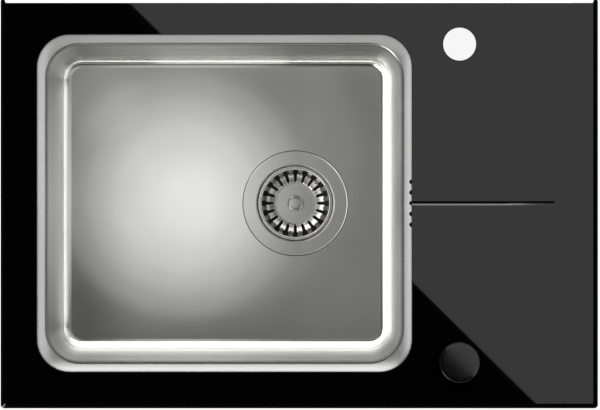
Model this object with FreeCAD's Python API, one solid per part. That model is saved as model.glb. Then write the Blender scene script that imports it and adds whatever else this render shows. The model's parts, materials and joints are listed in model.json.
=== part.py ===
import FreeCAD, Part
import math
import os

Vector = FreeCAD.Vector
ALONG_X = Vector(1, 0, 0)
ALONG_Y = Vector(0, 1, 0)
ALONG_Z = Vector(0, 0, 1)

# Frame: origin at the panel's centre on the worktop, +X to the drainer, +Y to the tap, +Z up. Millimetres.

# Clearances
SLIDING_FIT = 0.05
LOOSE_FIT = 0.3

# Glass panel
GLASS_LENGTH = 635.0
GLASS_WIDTH = 436.0
GLASS_THICKNESS = 8.0
GLASS_CORNER_RADIUS = 4.0
BEVEL_WIDTH = 5.0
BEVEL_DROP = 2.5
BEVEL_CORNER_RADIUS = 0.6
ARRIS = 0.8
RIM_MARGIN = 39.0
CUTOUT_LENGTH = 398.0
CUTOUT_CORNER_RADIUS = 34.5
TAP_HOLE_RADIUS = 17.5
TAP_FROM_BOWL = 51.0
TAP_FROM_BACK = 48.8
KNOB_FROM_FRONT = 48.8
GROOVE_WIDTH = 4.4
GROOVE_DEPTH = 1.5
GROOVE_RUNOUT = 58.0
GROOVE_END_DEPTH = 0.04

# Seal on the worktop
SEAL_THICKNESS = 1.5
SEAL_WIDTH = 8.0
SEAL_SETBACK = 1.0

# Bowl
BOWL_DEPTH = 180.0
SHEET = 1.0
LEDGE_WIDTH = 10.5
LEDGE_LAP = 12.0
MOUTH_CORNER = 34.5
WALL_DRAFT = math.radians(4.2)
FLOOR_FILLET = 10.0
RIM_BEND = 3.0
BOND_THICKNESS = 1.0
BOND_SETBACK = 4.0
PRESS_ROOM = 2.0
PAD_THICKNESS = 2.5
PAD_LENGTH = 140.0
PAD_WIDTH = 220.0
PAD_CORNER_RADIUS = 8.0
PAD_FROM_WASTE = 12.0

# Mounting rails and clamps
WORKTOP_OVERLAP = 10.0
CUTOUT_PLAY = 2.0
RAIL_LEG = 10.0
RAIL_DROP = 16.0
RAIL_SHEET = 1.5
RAIL_BOND = 1.0
RAIL_JOINT_GAP = 1.0
STUD_RADIUS = 3.0
STUD_LENGTH = 60.0
STUD_FROM_END = 65.5
STRAP_DROP = 46.0
STRAP_THICKNESS = 2.0
STRAP_WIDTH = 13.0
STRAP_REACH = 30.0
CLAW_HEIGHT = 8.0
STRAP_HOLE_PLAY = 0.25
WASHER_RADIUS = 6.3
WASHER_THICKNESS = 1.2
WING_HUB_RADIUS = 5.0
WING_HUB_HEIGHT = 6.0
WING_SPAN = 26.0
WING_HEIGHT = 10.0
WING_THICKNESS = 2.0

# Waste flange and cup
WASTE_FROM_BOWL_CENTRE = 75.3
WASTE_FLANGE_RADIUS = 56.0
WASTE_FLANGE_SHEET = 1.5
FLANGE_EDGE = 0.4
FLANGE_SEAL = 0.7
RECESS_PLAY = 0.3
RECESS_SLOPE = 0.7
CUP_RADIUS = 40.5
CUP_DEPTH = 26.0
THROAT_WIDTH = 2.0
THROAT_DEPTH = 3.5
WASTE_HOLE_PLAY = 3.0
SEAT_RADIUS = 23.0
COLLAR_DEPTH = 6.0
HUB_RADIUS = 7.0
HUB_LENGTH = 8.0
ARM_WIDTH = 5.0
ARM_HEIGHT = 2.5
WASTE_SCREW_RADIUS = 2.5
WASTE_SCREW_HEAD = 4.5
WASTE_SCREW_HEAD_HEIGHT = 2.0
WASTE_SCREW_LENGTH = 16.0
WASTE_SCREW_CIRCLE = 33.0
WASTE_SCREW_ANGLES = (100.0, 220.0, 340.0)

# Waste body
GASKET_THICKNESS = 3.0
BODY_WALL = 2.5
BODY_RIM_HEIGHT = 4.0
BODY_CAVITY_PLAY = 4.0
PILLAR_RADIUS = 5.0
OUTLET_RADIUS = 23.9
OUTLET_WALL = 3.9
OUTLET_LENGTH = 30.0

# Strainer basket
BASKET_PLAY = 0.7
BASKET_SHEET = 0.8
BASKET_SUNK = 1.2
BASKET_RIM_WIDTH = 2.6
BASKET_RIM_TURN = 1.6
BASKET_DISC_RADIUS = 22.4
BASKET_KNEE_RADIUS = 31.5
BASKET_KNEE_RISE = 6.0
SLOT_COUNT = 20
SLOT_END_RADIUS = 2.7
SLOT_INNER_WIDTH = 2.6
SLOT_LAND = 1.0
BUTTON_RADIUS = 8.4
BUTTON_NECK = 4.5
BUTTON_HEIGHT = 12.0
BUTTON_CAP = 5.0
BUTTON_EDGE = 1.5
STEM_RADIUS = 3.0
PLUG_SEAL_RADIUS = 27.0
PLUG_SEAL_THICKNESS = 2.5
PLUG_PLATE_RADIUS = 18.0
PLUG_PLATE_THICKNESS = 1.0

# Lift lever in the waste body
PIN_RADIUS = 4.0
FINGER_LENGTH = 20.0
FINGER_TIP_RADIUS = 3.0
FINGER_WIDTH = 6.0
FINGER_BAR = 3.0
FINGER_HEADROOM = 0.6
FINGER_FLOOR_ROOM = 1.8
FINGER_BOSS_RADIUS = 5.5
LEVER_SWING = math.radians(32.0)
SHAFT_RADIUS = 3.0
SHAFT_BOSS_RADIUS = 8.0
SHAFT_BOSS_LENGTH = 14.0
SHAFT_BUSH_RADIUS = 5.5
SHAFT_BUSH_LENGTH = 8.0
SHAFT_SEAL_LENGTH = 2.5
CRANK_THICKNESS = 3.0
CRANK_WIDTH = 10.0
CRANK_HUB_RADIUS = 6.5
CRANK_SLOT_PLAY = 0.25
CRANK_PIN_RADIUS = 2.0
ROD_RADIUS = 1.25
ROD_EYE_RADIUS = 4.5
ROD_EYE_THICKNESS = 3.0
ROD_EYE_ROOM = 0.6
BRACKET_FROM_SHAFT = 24.0
BRACKET_THICKNESS = 4.0
BRACKET_HEIGHT = 18.0
FERRULE_RADIUS = 4.5
FERRULE_BORE = 1.6
FERRULE_INSIDE = 2.0
FERRULE_OUTSIDE = 12.0

# Overflow
OVERFLOW_HOLE_RADIUS = 2.5
OVERFLOW_HOLE_COUNT = 5
OVERFLOW_HOLE_PITCH = 11.4
OVERFLOW_GASKET = 1.5
COLLECTOR_WALL = 2.0
COLLECTOR_HEIGHT = 22.0
COLLECTOR_END_ROOM = 6.0
COLLECTOR_EAR = 12.0
COLLECTOR_EAR_HEIGHT = 3.0
OVERFLOW_STUD_RADIUS = 2.0
OVERFLOW_STUD_LENGTH = 12.0
OVERFLOW_NUT_ACROSS = 7.0
OVERFLOW_NUT_HEIGHT = 3.2
SPIGOT_RADIUS = 8.0
SPIGOT_WALL = 1.8
SPIGOT_LENGTH = 18.0
PIPE_WALL = 1.9
PIPE_BEND = 25.0
PIPE_COLLAR = 2.0
PIPE_COLLAR_LENGTH = 14.0
PIPE_SEAL = 2.0
PIPE_SEAL_LENGTH = 6.0
SOCKET_WALL = 2.5
SOCKET_DEPTH = 14.0
INLET_ABOVE_SHAFT = 10.0

# Plug control
KNOB_RADIUS = 21.5
KNOB_HEIGHT = 13.0
KNOB_WALL = 1.8
KNOB_ROOF = 2.5
KNOB_EDGE = 1.0
KNOB_LIFT = 0.6
KNOB_HUB_RADIUS = 8.0
KNOB_HUB_DROP = 7.5
GRUB_RADIUS = 1.5
BUSH_RADIUS = 14.7
BUSH_HOLE_PLAY = 0.3
BUSH_FLANGE_RADIUS = 19.0
BUSH_FLANGE = 1.2
BUSH_SEAL = 0.6
BUSH_TAIL = 15.5
BUSH_WASHER_RADIUS = 22.0
BUSH_WASHER = 2.0
BUSH_NUT_ACROSS = 36.0
BUSH_NUT_HEIGHT = 8.0
SPINDLE_RADIUS = 4.5
SPINDLE_JOURNAL_RADIUS = 3.0
KNOB_SWING = math.radians(90.0)
GEAR_MODULE = 1.0
PINION_TEETH = 16
PRESSURE_ANGLE = math.radians(20.0)
GEAR_WIDTH = 10.0
GEAR_BACKLASH = 0.15
GEAR_ADDENDUM = 0.9
GEAR_DEDENDUM = 1.25
FLANK_POINTS = 6
RACK_BACK = 5.5
RACK_OVERRUN = 7.0
HOUSING_WALL = 2.0
HOUSING_END_ROOM = 2.5
HOUSING_COLLAR = 2.5
HOUSING_COLLAR_HEIGHT = 5.0
COVER_THICKNESS = 2.0
COVER_SCREW_RADIUS = 1.25
COVER_SCREW_HEAD = 2.4
COVER_SCREW_HEAD_HEIGHT = 1.5
COVER_SCREW_LENGTH = 8.0
COVER_EAR = 3.5

# Panel levels and places
GLASS_BOTTOM = SEAL_THICKNESS
GLASS_TOP = GLASS_BOTTOM + GLASS_THICKNESS
RIGHT_EDGE = GLASS_LENGTH / 2
BACK_EDGE = GLASS_WIDTH / 2
CUTOUT_WIDTH = GLASS_WIDTH - 2 * RIM_MARGIN
BOWL_X = RIM_MARGIN + CUTOUT_LENGTH / 2 - RIGHT_EDGE
CUTOUT_RIGHT = BOWL_X + CUTOUT_LENGTH / 2
TAP_X = CUTOUT_RIGHT + TAP_FROM_BOWL
TAP_Y = BACK_EDGE - TAP_FROM_BACK
KNOB_X = TAP_X
KNOB_Y = KNOB_FROM_FRONT - BACK_EDGE
KNOB_HOLE_RADIUS = BUSH_RADIUS + BUSH_HOLE_PLAY
GROOVE_END = RIGHT_EDGE - RIM_MARGIN
GROOVE_RUN_END = GROOVE_END - GROOVE_RUNOUT

# Bowl levels and places
LEDGE_Z = GLASS_BOTTOM - BOND_THICKNESS
LEDGE_UNDER = LEDGE_Z - SHEET
FLOOR_Z = LEDGE_Z - BOWL_DEPTH
FLOOR_UNDER = FLOOR_Z - SHEET
MOUTH_HALF_X = CUTOUT_LENGTH / 2 - LEDGE_WIDTH
MOUTH_HALF_Y = CUTOUT_WIDTH / 2 - LEDGE_WIDTH
LEDGE_HALF_X = CUTOUT_LENGTH / 2 + LEDGE_LAP
LEDGE_HALF_Y = CUTOUT_WIDTH / 2 + LEDGE_LAP
LEDGE_CORNER = CUTOUT_CORNER_RADIUS + LEDGE_LAP
WASTE_X = BOWL_X + WASTE_FROM_BOWL_CENTRE
RECESS_Z = FLOOR_Z - WASTE_FLANGE_SHEET - FLANGE_SEAL
RECESS_UNDER = RECESS_Z - SHEET
RECESS_RADIUS = WASTE_FLANGE_RADIUS + RECESS_PLAY

# Rail and clamp levels and places
RAIL_HALF_X = RIGHT_EDGE - WORKTOP_OVERLAP - CUTOUT_PLAY
RAIL_HALF_Y = BACK_EDGE - WORKTOP_OVERLAP - CUTOUT_PLAY
RAIL_TOP = GLASS_BOTTOM - RAIL_BOND
RAIL_UNDER = RAIL_TOP - RAIL_SHEET
STUD_X = RAIL_HALF_X - STUD_FROM_END
STUD_Y = RAIL_HALF_Y - (RAIL_LEG + RAIL_SHEET) / 2
STRAP_TOP = -STRAP_DROP
STRAP_UNDER = STRAP_TOP - STRAP_THICKNESS
CLAMPS = {
    "front_left": (-1, -1),
    "front_right": (1, -1),
    "back_left": (-1, 1),
    "back_right": (1, 1),
}

# Waste levels
CUP_OUTER = CUP_RADIUS + WASTE_FLANGE_SHEET
CUP_FLOOR = FLOOR_Z - CUP_DEPTH
CUP_UNDER = CUP_FLOOR - WASTE_FLANGE_SHEET
COLLAR_BOTTOM = CUP_FLOOR - COLLAR_DEPTH
HUB_BOTTOM = COLLAR_BOTTOM + ARM_HEIGHT - HUB_LENGTH
WASTE_HOLE_RADIUS = CUP_OUTER + WASTE_HOLE_PLAY
BODY_TOP = RECESS_UNDER - GASKET_THICKNESS
BODY_CAVITY = CUP_OUTER + BODY_CAVITY_PLAY
BODY_RADIUS = BODY_CAVITY + BODY_WALL

# Basket levels
PLUG_SEAL_UNDER = CUP_FLOOR + LOOSE_FIT
BASKET_UNDER = PLUG_SEAL_UNDER + PLUG_SEAL_THICKNESS
BASKET_DISC = BASKET_UNDER + BASKET_SHEET
BASKET_TOP = FLOOR_Z - BASKET_SUNK
BASKET_RADIUS = CUP_RADIUS - BASKET_PLAY
BASKET_MOUTH = BASKET_RADIUS - BASKET_RIM_WIDTH
BASKET_KNEE = BASKET_DISC + BASKET_KNEE_RISE
PLUG_PLATE_UNDER = PLUG_SEAL_UNDER - PLUG_PLATE_THICKNESS

# Lever levels and travels
LEVER_REST = -LEVER_SWING / 2
FINGER_RISE = FINGER_LENGTH * math.sin(LEVER_SWING / 2)
SHAFT_X = WASTE_X + FINGER_LENGTH
SHAFT_Z = HUB_BOTTOM - FINGER_HEADROOM - FINGER_TIP_RADIUS - FINGER_RISE
LIFT_TRAVEL = 2 * FINGER_RISE
PIN_TOP = PLUG_PLATE_UNDER - LOOSE_FIT
PIN_BOTTOM = SHAFT_Z - FINGER_RISE + FINGER_TIP_RADIUS + LOOSE_FIT
BODY_FLOOR = SHAFT_Z - FINGER_RISE - FINGER_TIP_RADIUS - FINGER_FLOOR_ROOM
BODY_UNDER = BODY_FLOOR - BODY_WALL
OUTLET_END = BODY_UNDER - OUTLET_LENGTH
PINION_RADIUS = GEAR_MODULE * PINION_TEETH / 2
RACK_TRAVEL = PINION_RADIUS * KNOB_SWING
CRANK_HEIGHT = RACK_TRAVEL / (2 * math.tan(LEVER_SWING / 2))
ROD_Z = SHAFT_Z + CRANK_HEIGHT
SHAFT_BOSS_END = -(BODY_RADIUS + SHAFT_BOSS_LENGTH)
ROD_Y = SHAFT_BOSS_END - ROD_EYE_THICKNESS / 2 - ROD_EYE_ROOM
CRANK_Y = ROD_Y - ROD_EYE_THICKNESS / 2 - LOOSE_FIT
SHAFT_END = CRANK_Y - CRANK_THICKNESS
CRANK_PIN_X = SHAFT_X - RACK_TRAVEL / 2
BRACKET_X = SHAFT_X + BRACKET_FROM_SHAFT

# Overflow levels and places
COLLECTOR_LEFT = BOWL_X + MOUTH_HALF_X + RIM_BEND + COLLECTOR_WALL
COLLECTOR_RIGHT = BOWL_X + LEDGE_HALF_X - SHEET
COLLECTOR_X = (COLLECTOR_LEFT + COLLECTOR_RIGHT) / 2
COLLECTOR_TOP = LEDGE_UNDER - OVERFLOW_GASKET
COLLECTOR_BOTTOM = COLLECTOR_TOP - COLLECTOR_HEIGHT
OVERFLOW_ROW_HALF = (OVERFLOW_HOLE_COUNT - 1) / 2 * OVERFLOW_HOLE_PITCH
COLLECTOR_HALF_Y = OVERFLOW_ROW_HALF + OVERFLOW_HOLE_RADIUS + COLLECTOR_END_ROOM
OVERFLOW_STUD_Y = COLLECTOR_HALF_Y + COLLECTOR_EAR / 2
PIPE_BORE = SPIGOT_RADIUS + SLIDING_FIT
PIPE_RADIUS = PIPE_BORE + PIPE_WALL
SOCKET_BORE = PIPE_RADIUS + PIPE_SEAL
SOCKET_END = WASTE_X + BODY_RADIUS + SOCKET_DEPTH
INLET_Z = SHAFT_Z + INLET_ABOVE_SHAFT

# Control levels and places
BUSH_SEAL_TOP = GLASS_TOP + BUSH_SEAL
BUSH_TOP = BUSH_SEAL_TOP + BUSH_FLANGE
BUSH_BOTTOM = GLASS_BOTTOM - BUSH_TAIL
BUSH_WASHER_UNDER = GLASS_BOTTOM - BUSH_WASHER
BUSH_BORE = SPINDLE_RADIUS + SLIDING_FIT
KNOB_BOTTOM = GLASS_TOP + KNOB_LIFT
KNOB_TOP = KNOB_BOTTOM + KNOB_HEIGHT
KNOB_CEILING = KNOB_TOP - KNOB_ROOF
GRUB_Z = KNOB_CEILING - KNOB_HUB_DROP / 2
HOUSING_CEILING = BUSH_BOTTOM - HOUSING_WALL
GEAR_TOP = HOUSING_CEILING - LOOSE_FIT
GEAR_BOTTOM = GEAR_TOP - GEAR_WIDTH
HOUSING_BOTTOM = GEAR_BOTTOM - LOOSE_FIT
COVER_UNDER = HOUSING_BOTTOM - COVER_THICKNESS
RACK_PITCH_X = KNOB_X + PINION_RADIUS
RACK_BACK_X = RACK_PITCH_X + GEAR_DEDENDUM + RACK_BACK
RACK_ROD_X = RACK_PITCH_X + GEAR_DEDENDUM + RACK_BACK / 2
RACK_ROD_Z = (GEAR_TOP + GEAR_BOTTOM) / 2
RACK_FRONT = KNOB_Y - RACK_OVERRUN
RACK_REAR = KNOB_Y + RACK_TRAVEL + RACK_OVERRUN
CAVITY_HALF_X = RACK_BACK_X + LOOSE_FIT - KNOB_X
CAVITY_HALF_Y = RACK_TRAVEL + RACK_OVERRUN + HOUSING_END_ROOM
HOUSING_HALF_X = CAVITY_HALF_X + HOUSING_WALL
HOUSING_HALF_Y = CAVITY_HALF_Y + HOUSING_WALL


# Basic solids

def box(x_range, y_range, z_range):
    corner = Vector(min(x_range), min(y_range), min(z_range))
    sizes = [max(span) - min(span) for span in (x_range, y_range, z_range)]
    return Part.makeBox(*sizes, corner)


def disc(radius, z_range, x, y):
    return Part.makeCylinder(radius, max(z_range) - min(z_range), Vector(x, y, min(z_range)))


def ring(inner, outer, z_range, x, y):
    return disc(outer, z_range, x, y).cut(disc(inner, z_range, x, y))


def rod_along_x(radius, x_range, y, z):
    return Part.makeCylinder(radius, max(x_range) - min(x_range), Vector(min(x_range), y, z), ALONG_X)


def rod_along_y(radius, y_range, x, z):
    return Part.makeCylinder(radius, max(y_range) - min(y_range), Vector(x, min(y_range), z), ALONG_Y)


def turned(profile, x, y):
    points = [Vector(x + radius, y, z) for radius, z in profile]
    face = Part.Face(Part.makePolygon(points + points[:1]))
    return face.revolve(Vector(x, y, 0), ALONG_Z, 360)


def rounded_rectangle(half_x, half_y, radius, x, y, z):
    edges = []
    corners = ((1, 1, 0), (-1, 1, 90), (-1, -1, 180), (1, -1, 270))
    arcs = []
    for sign_x, sign_y, start in corners:
        centre = Vector(x + sign_x * (half_x - radius), y + sign_y * (half_y - radius), z)
        arcs.append(Part.makeCircle(radius, centre, ALONG_Z, start, start + 90))
    for arc, following in zip(arcs, arcs[1:] + arcs[:1]):
        edges.append(arc)
        end = arc.valueAt(arc.LastParameter)
        start = following.valueAt(following.FirstParameter)
        edges.append(Part.makeLine(end, start))
    return Part.Wire(edges)


def slab(half_x, half_y, radius, x, y, z_range):
    outline = rounded_rectangle(half_x, half_y, radius, x, y, min(z_range))
    return Part.Face(outline).extrude(Vector(0, 0, max(z_range) - min(z_range)))


def hexagon_nut(across, bore, z_range, x, y):
    reach = across / math.sqrt(3)
    corners = []
    for turn in range(6):
        angle = turn * math.pi / 3
        corners.append(Vector(x + reach * math.cos(angle), y + reach * math.sin(angle), min(z_range)))
    outline = Part.makePolygon(corners + corners[:1])
    blank = Part.Face(outline).extrude(Vector(0, 0, max(z_range) - min(z_range)))
    return blank.cut(disc(bore, z_range, x, y))


def around(shape, angle, x, y):
    copy = shape.copy()
    copy.rotate(Vector(x, y, 0), ALONG_Z, angle)
    return copy


# Glass panel and its seal

def glass_top():
    shoulder = GLASS_TOP - BEVEL_DROP
    half_x = GLASS_LENGTH / 2
    half_y = GLASS_WIDTH / 2
    panel = slab(half_x, half_y, GLASS_CORNER_RADIUS, 0, 0, (GLASS_BOTTOM, shoulder))
    bevel = Part.makeLoft(
        [
            rounded_rectangle(half_x, half_y, GLASS_CORNER_RADIUS, 0, 0, shoulder),
            rounded_rectangle(
                half_x - BEVEL_WIDTH, half_y - BEVEL_WIDTH, BEVEL_CORNER_RADIUS, 0, 0, GLASS_TOP
            ),
        ],
        True,
        True,
    )
    panel = panel.fuse(bevel).removeSplitter()
    panel = panel.cut(cutout())
    panel = panel.cut(drilled_hole(TAP_HOLE_RADIUS, TAP_X, TAP_Y))
    panel = panel.cut(drilled_hole(KNOB_HOLE_RADIUS, KNOB_X, KNOB_Y))
    return panel.cut(drain_groove())


def cutout():
    half_x = CUTOUT_LENGTH / 2
    half_y = CUTOUT_WIDTH / 2
    opening = slab(half_x, half_y, CUTOUT_CORNER_RADIUS, BOWL_X, 0, (GLASS_BOTTOM, GLASS_TOP))
    arris = Part.makeLoft(
        [
            rounded_rectangle(half_x, half_y, CUTOUT_CORNER_RADIUS, BOWL_X, 0, GLASS_TOP - ARRIS),
            rounded_rectangle(
                half_x + ARRIS, half_y + ARRIS, CUTOUT_CORNER_RADIUS + ARRIS, BOWL_X, 0, GLASS_TOP
            ),
        ],
        True,
        True,
    )
    return opening.fuse(arris)


def drilled_hole(radius, x, y):
    profile = [
        (0, GLASS_BOTTOM),
        (radius, GLASS_BOTTOM),
        (radius, GLASS_TOP - ARRIS),
        (radius + ARRIS, GLASS_TOP),
        (0, GLASS_TOP),
    ]
    return turned(profile, x, y)


def drain_groove():
    def section(x, depth):
        return Part.makePolygon([
            Vector(x, -GROOVE_WIDTH / 2, GLASS_TOP),
            Vector(x, 0, GLASS_TOP - depth),
            Vector(x, GROOVE_WIDTH / 2, GLASS_TOP),
            Vector(x, -GROOVE_WIDTH / 2, GLASS_TOP),
        ])

    full = section(CUTOUT_RIGHT, GROOVE_DEPTH)
    straight = Part.Face(full).extrude(Vector(GROOVE_RUN_END - CUTOUT_RIGHT, 0, 0))
    ends = [section(GROOVE_RUN_END, GROOVE_DEPTH), section(GROOVE_END, GROOVE_END_DEPTH)]
    runout = Part.makeLoft(ends, True, True)
    return straight.fuse(runout)


def worktop_seal():
    outer_x = GLASS_LENGTH / 2 - SEAL_SETBACK
    outer_y = GLASS_WIDTH / 2 - SEAL_SETBACK
    corner = GLASS_CORNER_RADIUS - SEAL_SETBACK
    levels = (0, SEAL_THICKNESS)
    strip = slab(outer_x, outer_y, corner, 0, 0, levels)
    inner_x = outer_x - SEAL_WIDTH
    inner_y = outer_y - SEAL_WIDTH
    return strip.cut(box((-inner_x, inner_x), (-inner_y, inner_y), levels))


# Bowl

def edges_at(shape, z, half_x, half_y):
    def inside(vertex):
        within = abs(vertex.X - BOWL_X) < half_x and abs(vertex.Y) < half_y
        return within and abs(vertex.Z - z) < SLIDING_FIT

    return [edge for edge in shape.Edges if all(inside(vertex) for vertex in edge.Vertexes)]


def bowl_volume(ledge_slab, offset):
    top = LEDGE_Z - offset
    floor = FLOOR_Z - offset

    def outline(z):
        growth = offset / math.cos(WALL_DRAFT) - (LEDGE_Z - z) * math.tan(WALL_DRAFT)
        return rounded_rectangle(
            MOUTH_HALF_X + growth, MOUTH_HALF_Y + growth, MOUTH_CORNER + growth, BOWL_X, 0, z
        )

    well = Part.makeLoft([outline(floor), outline(LEDGE_Z + SHEET)], True, True)
    volume = ledge_slab.fuse(well).removeSplitter()
    near_x = (MOUTH_HALF_X + CUTOUT_LENGTH / 2) / 2
    near_y = (MOUTH_HALF_Y + CUTOUT_WIDTH / 2) / 2
    volume = volume.makeFillet(RIM_BEND - offset, edges_at(volume, top, near_x, near_y))
    volume = volume.makeFillet(FLOOR_FILLET + offset, edges_at(volume, floor, near_x, near_y))
    recess = turned(
        [
            (0, floor),
            (RECESS_RADIUS + RECESS_SLOPE + offset, floor),
            (RECESS_RADIUS + offset, RECESS_Z - offset),
            (0, RECESS_Z - offset),
        ],
        WASTE_X,
        0,
    )
    return volume.fuse(recess)


def bowl():
    blank_levels = (LEDGE_UNDER, LEDGE_Z + PRESS_ROOM)
    air_levels = (LEDGE_Z, LEDGE_Z + PRESS_ROOM + SHEET)
    blank = slab(LEDGE_HALF_X, LEDGE_HALF_Y, LEDGE_CORNER, BOWL_X, 0, blank_levels)
    air = slab(LEDGE_HALF_X + SHEET, LEDGE_HALF_Y + SHEET, LEDGE_CORNER, BOWL_X, 0, air_levels)
    pressing = bowl_volume(blank, SHEET).cut(bowl_volume(air, 0))
    pressing = pressing.cut(disc(WASTE_HOLE_RADIUS, (RECESS_UNDER, RECESS_Z), WASTE_X, 0))
    for y in overflow_hole_places():
        pressing = pressing.cut(disc(OVERFLOW_HOLE_RADIUS, (LEDGE_UNDER, LEDGE_Z), CUTOUT_RIGHT, y))
    return pressing


def overflow_hole_places():
    return [index * OVERFLOW_HOLE_PITCH - OVERFLOW_ROW_HALF for index in range(OVERFLOW_HOLE_COUNT)]


def bowl_bond():
    levels = (LEDGE_Z, GLASS_BOTTOM)
    outside = LEDGE_LAP - SHEET
    bead = slab(
        CUTOUT_LENGTH / 2 + outside,
        CUTOUT_WIDTH / 2 + outside,
        CUTOUT_CORNER_RADIUS + outside,
        BOWL_X,
        0,
        levels,
    )
    inside = slab(
        CUTOUT_LENGTH / 2 + BOND_SETBACK,
        CUTOUT_WIDTH / 2 + BOND_SETBACK,
        CUTOUT_CORNER_RADIUS + BOND_SETBACK,
        BOWL_X,
        0,
        levels,
    )
    return bead.cut(inside)


def sound_pad():
    x = WASTE_X - RECESS_RADIUS - RECESS_SLOPE - PAD_FROM_WASTE - PAD_LENGTH / 2
    levels = (FLOOR_UNDER - PAD_THICKNESS, FLOOR_UNDER)
    return slab(PAD_LENGTH / 2, PAD_WIDTH / 2, PAD_CORNER_RADIUS, x, 0, levels)


# Mounting rails

def long_rail(side):
    edge = side * RAIL_HALF_Y
    inner = side * (RAIL_HALF_Y - RAIL_LEG)
    flat = box((-RAIL_HALF_X, RAIL_HALF_X), (inner, edge), (RAIL_UNDER, RAIL_TOP))
    upright = box((-RAIL_HALF_X, RAIL_HALF_X), (edge - side * RAIL_SHEET, edge), (-RAIL_DROP, RAIL_TOP))
    return flat.fuse(upright).removeSplitter()


def short_rail(side):
    edge = side * RAIL_HALF_X
    inner = side * (RAIL_HALF_X - RAIL_LEG)
    half_y = RAIL_HALF_Y - RAIL_LEG - RAIL_JOINT_GAP
    flat = box((inner, edge), (-half_y, half_y), (RAIL_UNDER, RAIL_TOP))
    upright = box((edge - side * RAIL_SHEET, edge), (-half_y, half_y), (-RAIL_DROP, RAIL_TOP))
    return flat.fuse(upright).removeSplitter()


def rail_bonds():
    levels = (RAIL_TOP, GLASS_BOTTOM)
    inner_x = RAIL_HALF_X - RAIL_LEG
    inner_y = RAIL_HALF_Y - RAIL_LEG
    short_half = inner_y - RAIL_JOINT_GAP
    strips = []
    for side in (-1, 1):
        strips.append(box((-RAIL_HALF_X, RAIL_HALF_X), (side * inner_y, side * RAIL_HALF_Y), levels))
        strips.append(box((side * inner_x, side * RAIL_HALF_X), (-short_half, short_half), levels))
    return Part.makeCompound(strips)


# Clamps

def clamp_studs():
    levels = (RAIL_UNDER - STUD_LENGTH, RAIL_UNDER)
    studs = [disc(STUD_RADIUS, levels, sx * STUD_X, sy * STUD_Y) for sx, sy in CLAMPS.values()]
    return Part.makeCompound(studs)


def clamp_strap(side_x, side_y):
    x = side_x * STUD_X
    y = side_y * STUD_Y
    tip = x - side_x * STRAP_REACH
    half = STRAP_WIDTH / 2
    sides = (y - half, y + half)
    plate = box((x, tip), sides, (STRAP_UNDER, STRAP_TOP))
    claw = box((tip, tip + side_x * STRAP_THICKNESS), sides, (STRAP_UNDER, STRAP_TOP + CLAW_HEIGHT))
    strap = plate.fuse([disc(half, (STRAP_UNDER, STRAP_TOP), x, y), claw]).removeSplitter()
    return strap.cut(disc(STUD_RADIUS + STRAP_HOLE_PLAY, (STRAP_UNDER, STRAP_TOP), x, y))


def clamp_nut(side_x, side_y):
    x = side_x * STUD_X
    y = side_y * STUD_Y
    washer_top = STRAP_UNDER - SLIDING_FIT
    washer_under = washer_top - WASHER_THICKNESS
    hub_under = washer_under - WING_HUB_HEIGHT
    bore = STUD_RADIUS + SLIDING_FIT
    washer = ring(bore, WASHER_RADIUS, (washer_under, washer_top), x, y)
    half_span = WING_SPAN / 2
    wing_end = washer_under - WING_HEIGHT
    wing_root = washer_under - WASHER_THICKNESS
    wing_side = y - WING_THICKNESS / 2
    profile = [
        Vector(x - half_span, wing_side, wing_end),
        Vector(x - half_span + WING_HUB_RADIUS, wing_side, wing_end),
        Vector(x, wing_side, hub_under),
        Vector(x + half_span - WING_HUB_RADIUS, wing_side, wing_end),
        Vector(x + half_span, wing_side, wing_end),
        Vector(x + WING_HUB_RADIUS, wing_side, wing_root),
        Vector(x - WING_HUB_RADIUS, wing_side, wing_root),
    ]
    wings = Part.Face(Part.makePolygon(profile + profile[:1])).extrude(Vector(0, WING_THICKNESS, 0))
    hub = disc(WING_HUB_RADIUS, (hub_under, washer_under), x, y)
    nut = hub.fuse(wings).cut(disc(bore, (wing_end, washer_under), x, y))
    return Part.makeCompound([washer, nut])


# Waste flange, seals and body

def waste_screw_places():
    places = []
    for angle in WASTE_SCREW_ANGLES:
        turn = math.radians(angle)
        places.append((WASTE_X + WASTE_SCREW_CIRCLE * math.cos(turn), WASTE_SCREW_CIRCLE * math.sin(turn)))
    return places


def waste_flange():
    plate_under = FLOOR_Z - WASTE_FLANGE_SHEET
    collar_radius = SEAT_RADIUS + WASTE_FLANGE_SHEET
    profile = [
        (WASTE_FLANGE_RADIUS - FLANGE_EDGE, FLOOR_Z),
        (WASTE_FLANGE_RADIUS, FLOOR_Z - FLANGE_EDGE),
        (WASTE_FLANGE_RADIUS, plate_under),
        (CUP_OUTER, plate_under),
        (CUP_OUTER, CUP_UNDER),
        (collar_radius, CUP_UNDER),
        (collar_radius, COLLAR_BOTTOM),
        (SEAT_RADIUS, COLLAR_BOTTOM),
        (SEAT_RADIUS, CUP_FLOOR),
        (CUP_RADIUS, CUP_FLOOR),
        (CUP_RADIUS, FLOOR_Z - THROAT_DEPTH),
        (CUP_RADIUS + THROAT_WIDTH, FLOOR_Z),
    ]
    flange = turned(profile, WASTE_X, 0)
    arm_levels = (COLLAR_BOTTOM, COLLAR_BOTTOM + ARM_HEIGHT)
    arm = box((WASTE_X, WASTE_X + SEAT_RADIUS + SLIDING_FIT), (-ARM_WIDTH / 2, ARM_WIDTH / 2), arm_levels)
    hub_levels = (HUB_BOTTOM, COLLAR_BOTTOM + ARM_HEIGHT)
    spider = [disc(HUB_RADIUS, hub_levels, WASTE_X, 0)]
    spider += [around(arm, angle, WASTE_X, 0) for angle in WASTE_SCREW_ANGLES]
    flange = flange.fuse(spider).removeSplitter()
    flange = flange.cut(disc(PIN_RADIUS + SLIDING_FIT, hub_levels, WASTE_X, 0))
    for x, y in waste_screw_places():
        flange = flange.cut(disc(WASTE_SCREW_RADIUS + SLIDING_FIT, (CUP_UNDER, CUP_FLOOR), x, y))
    return flange


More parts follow.
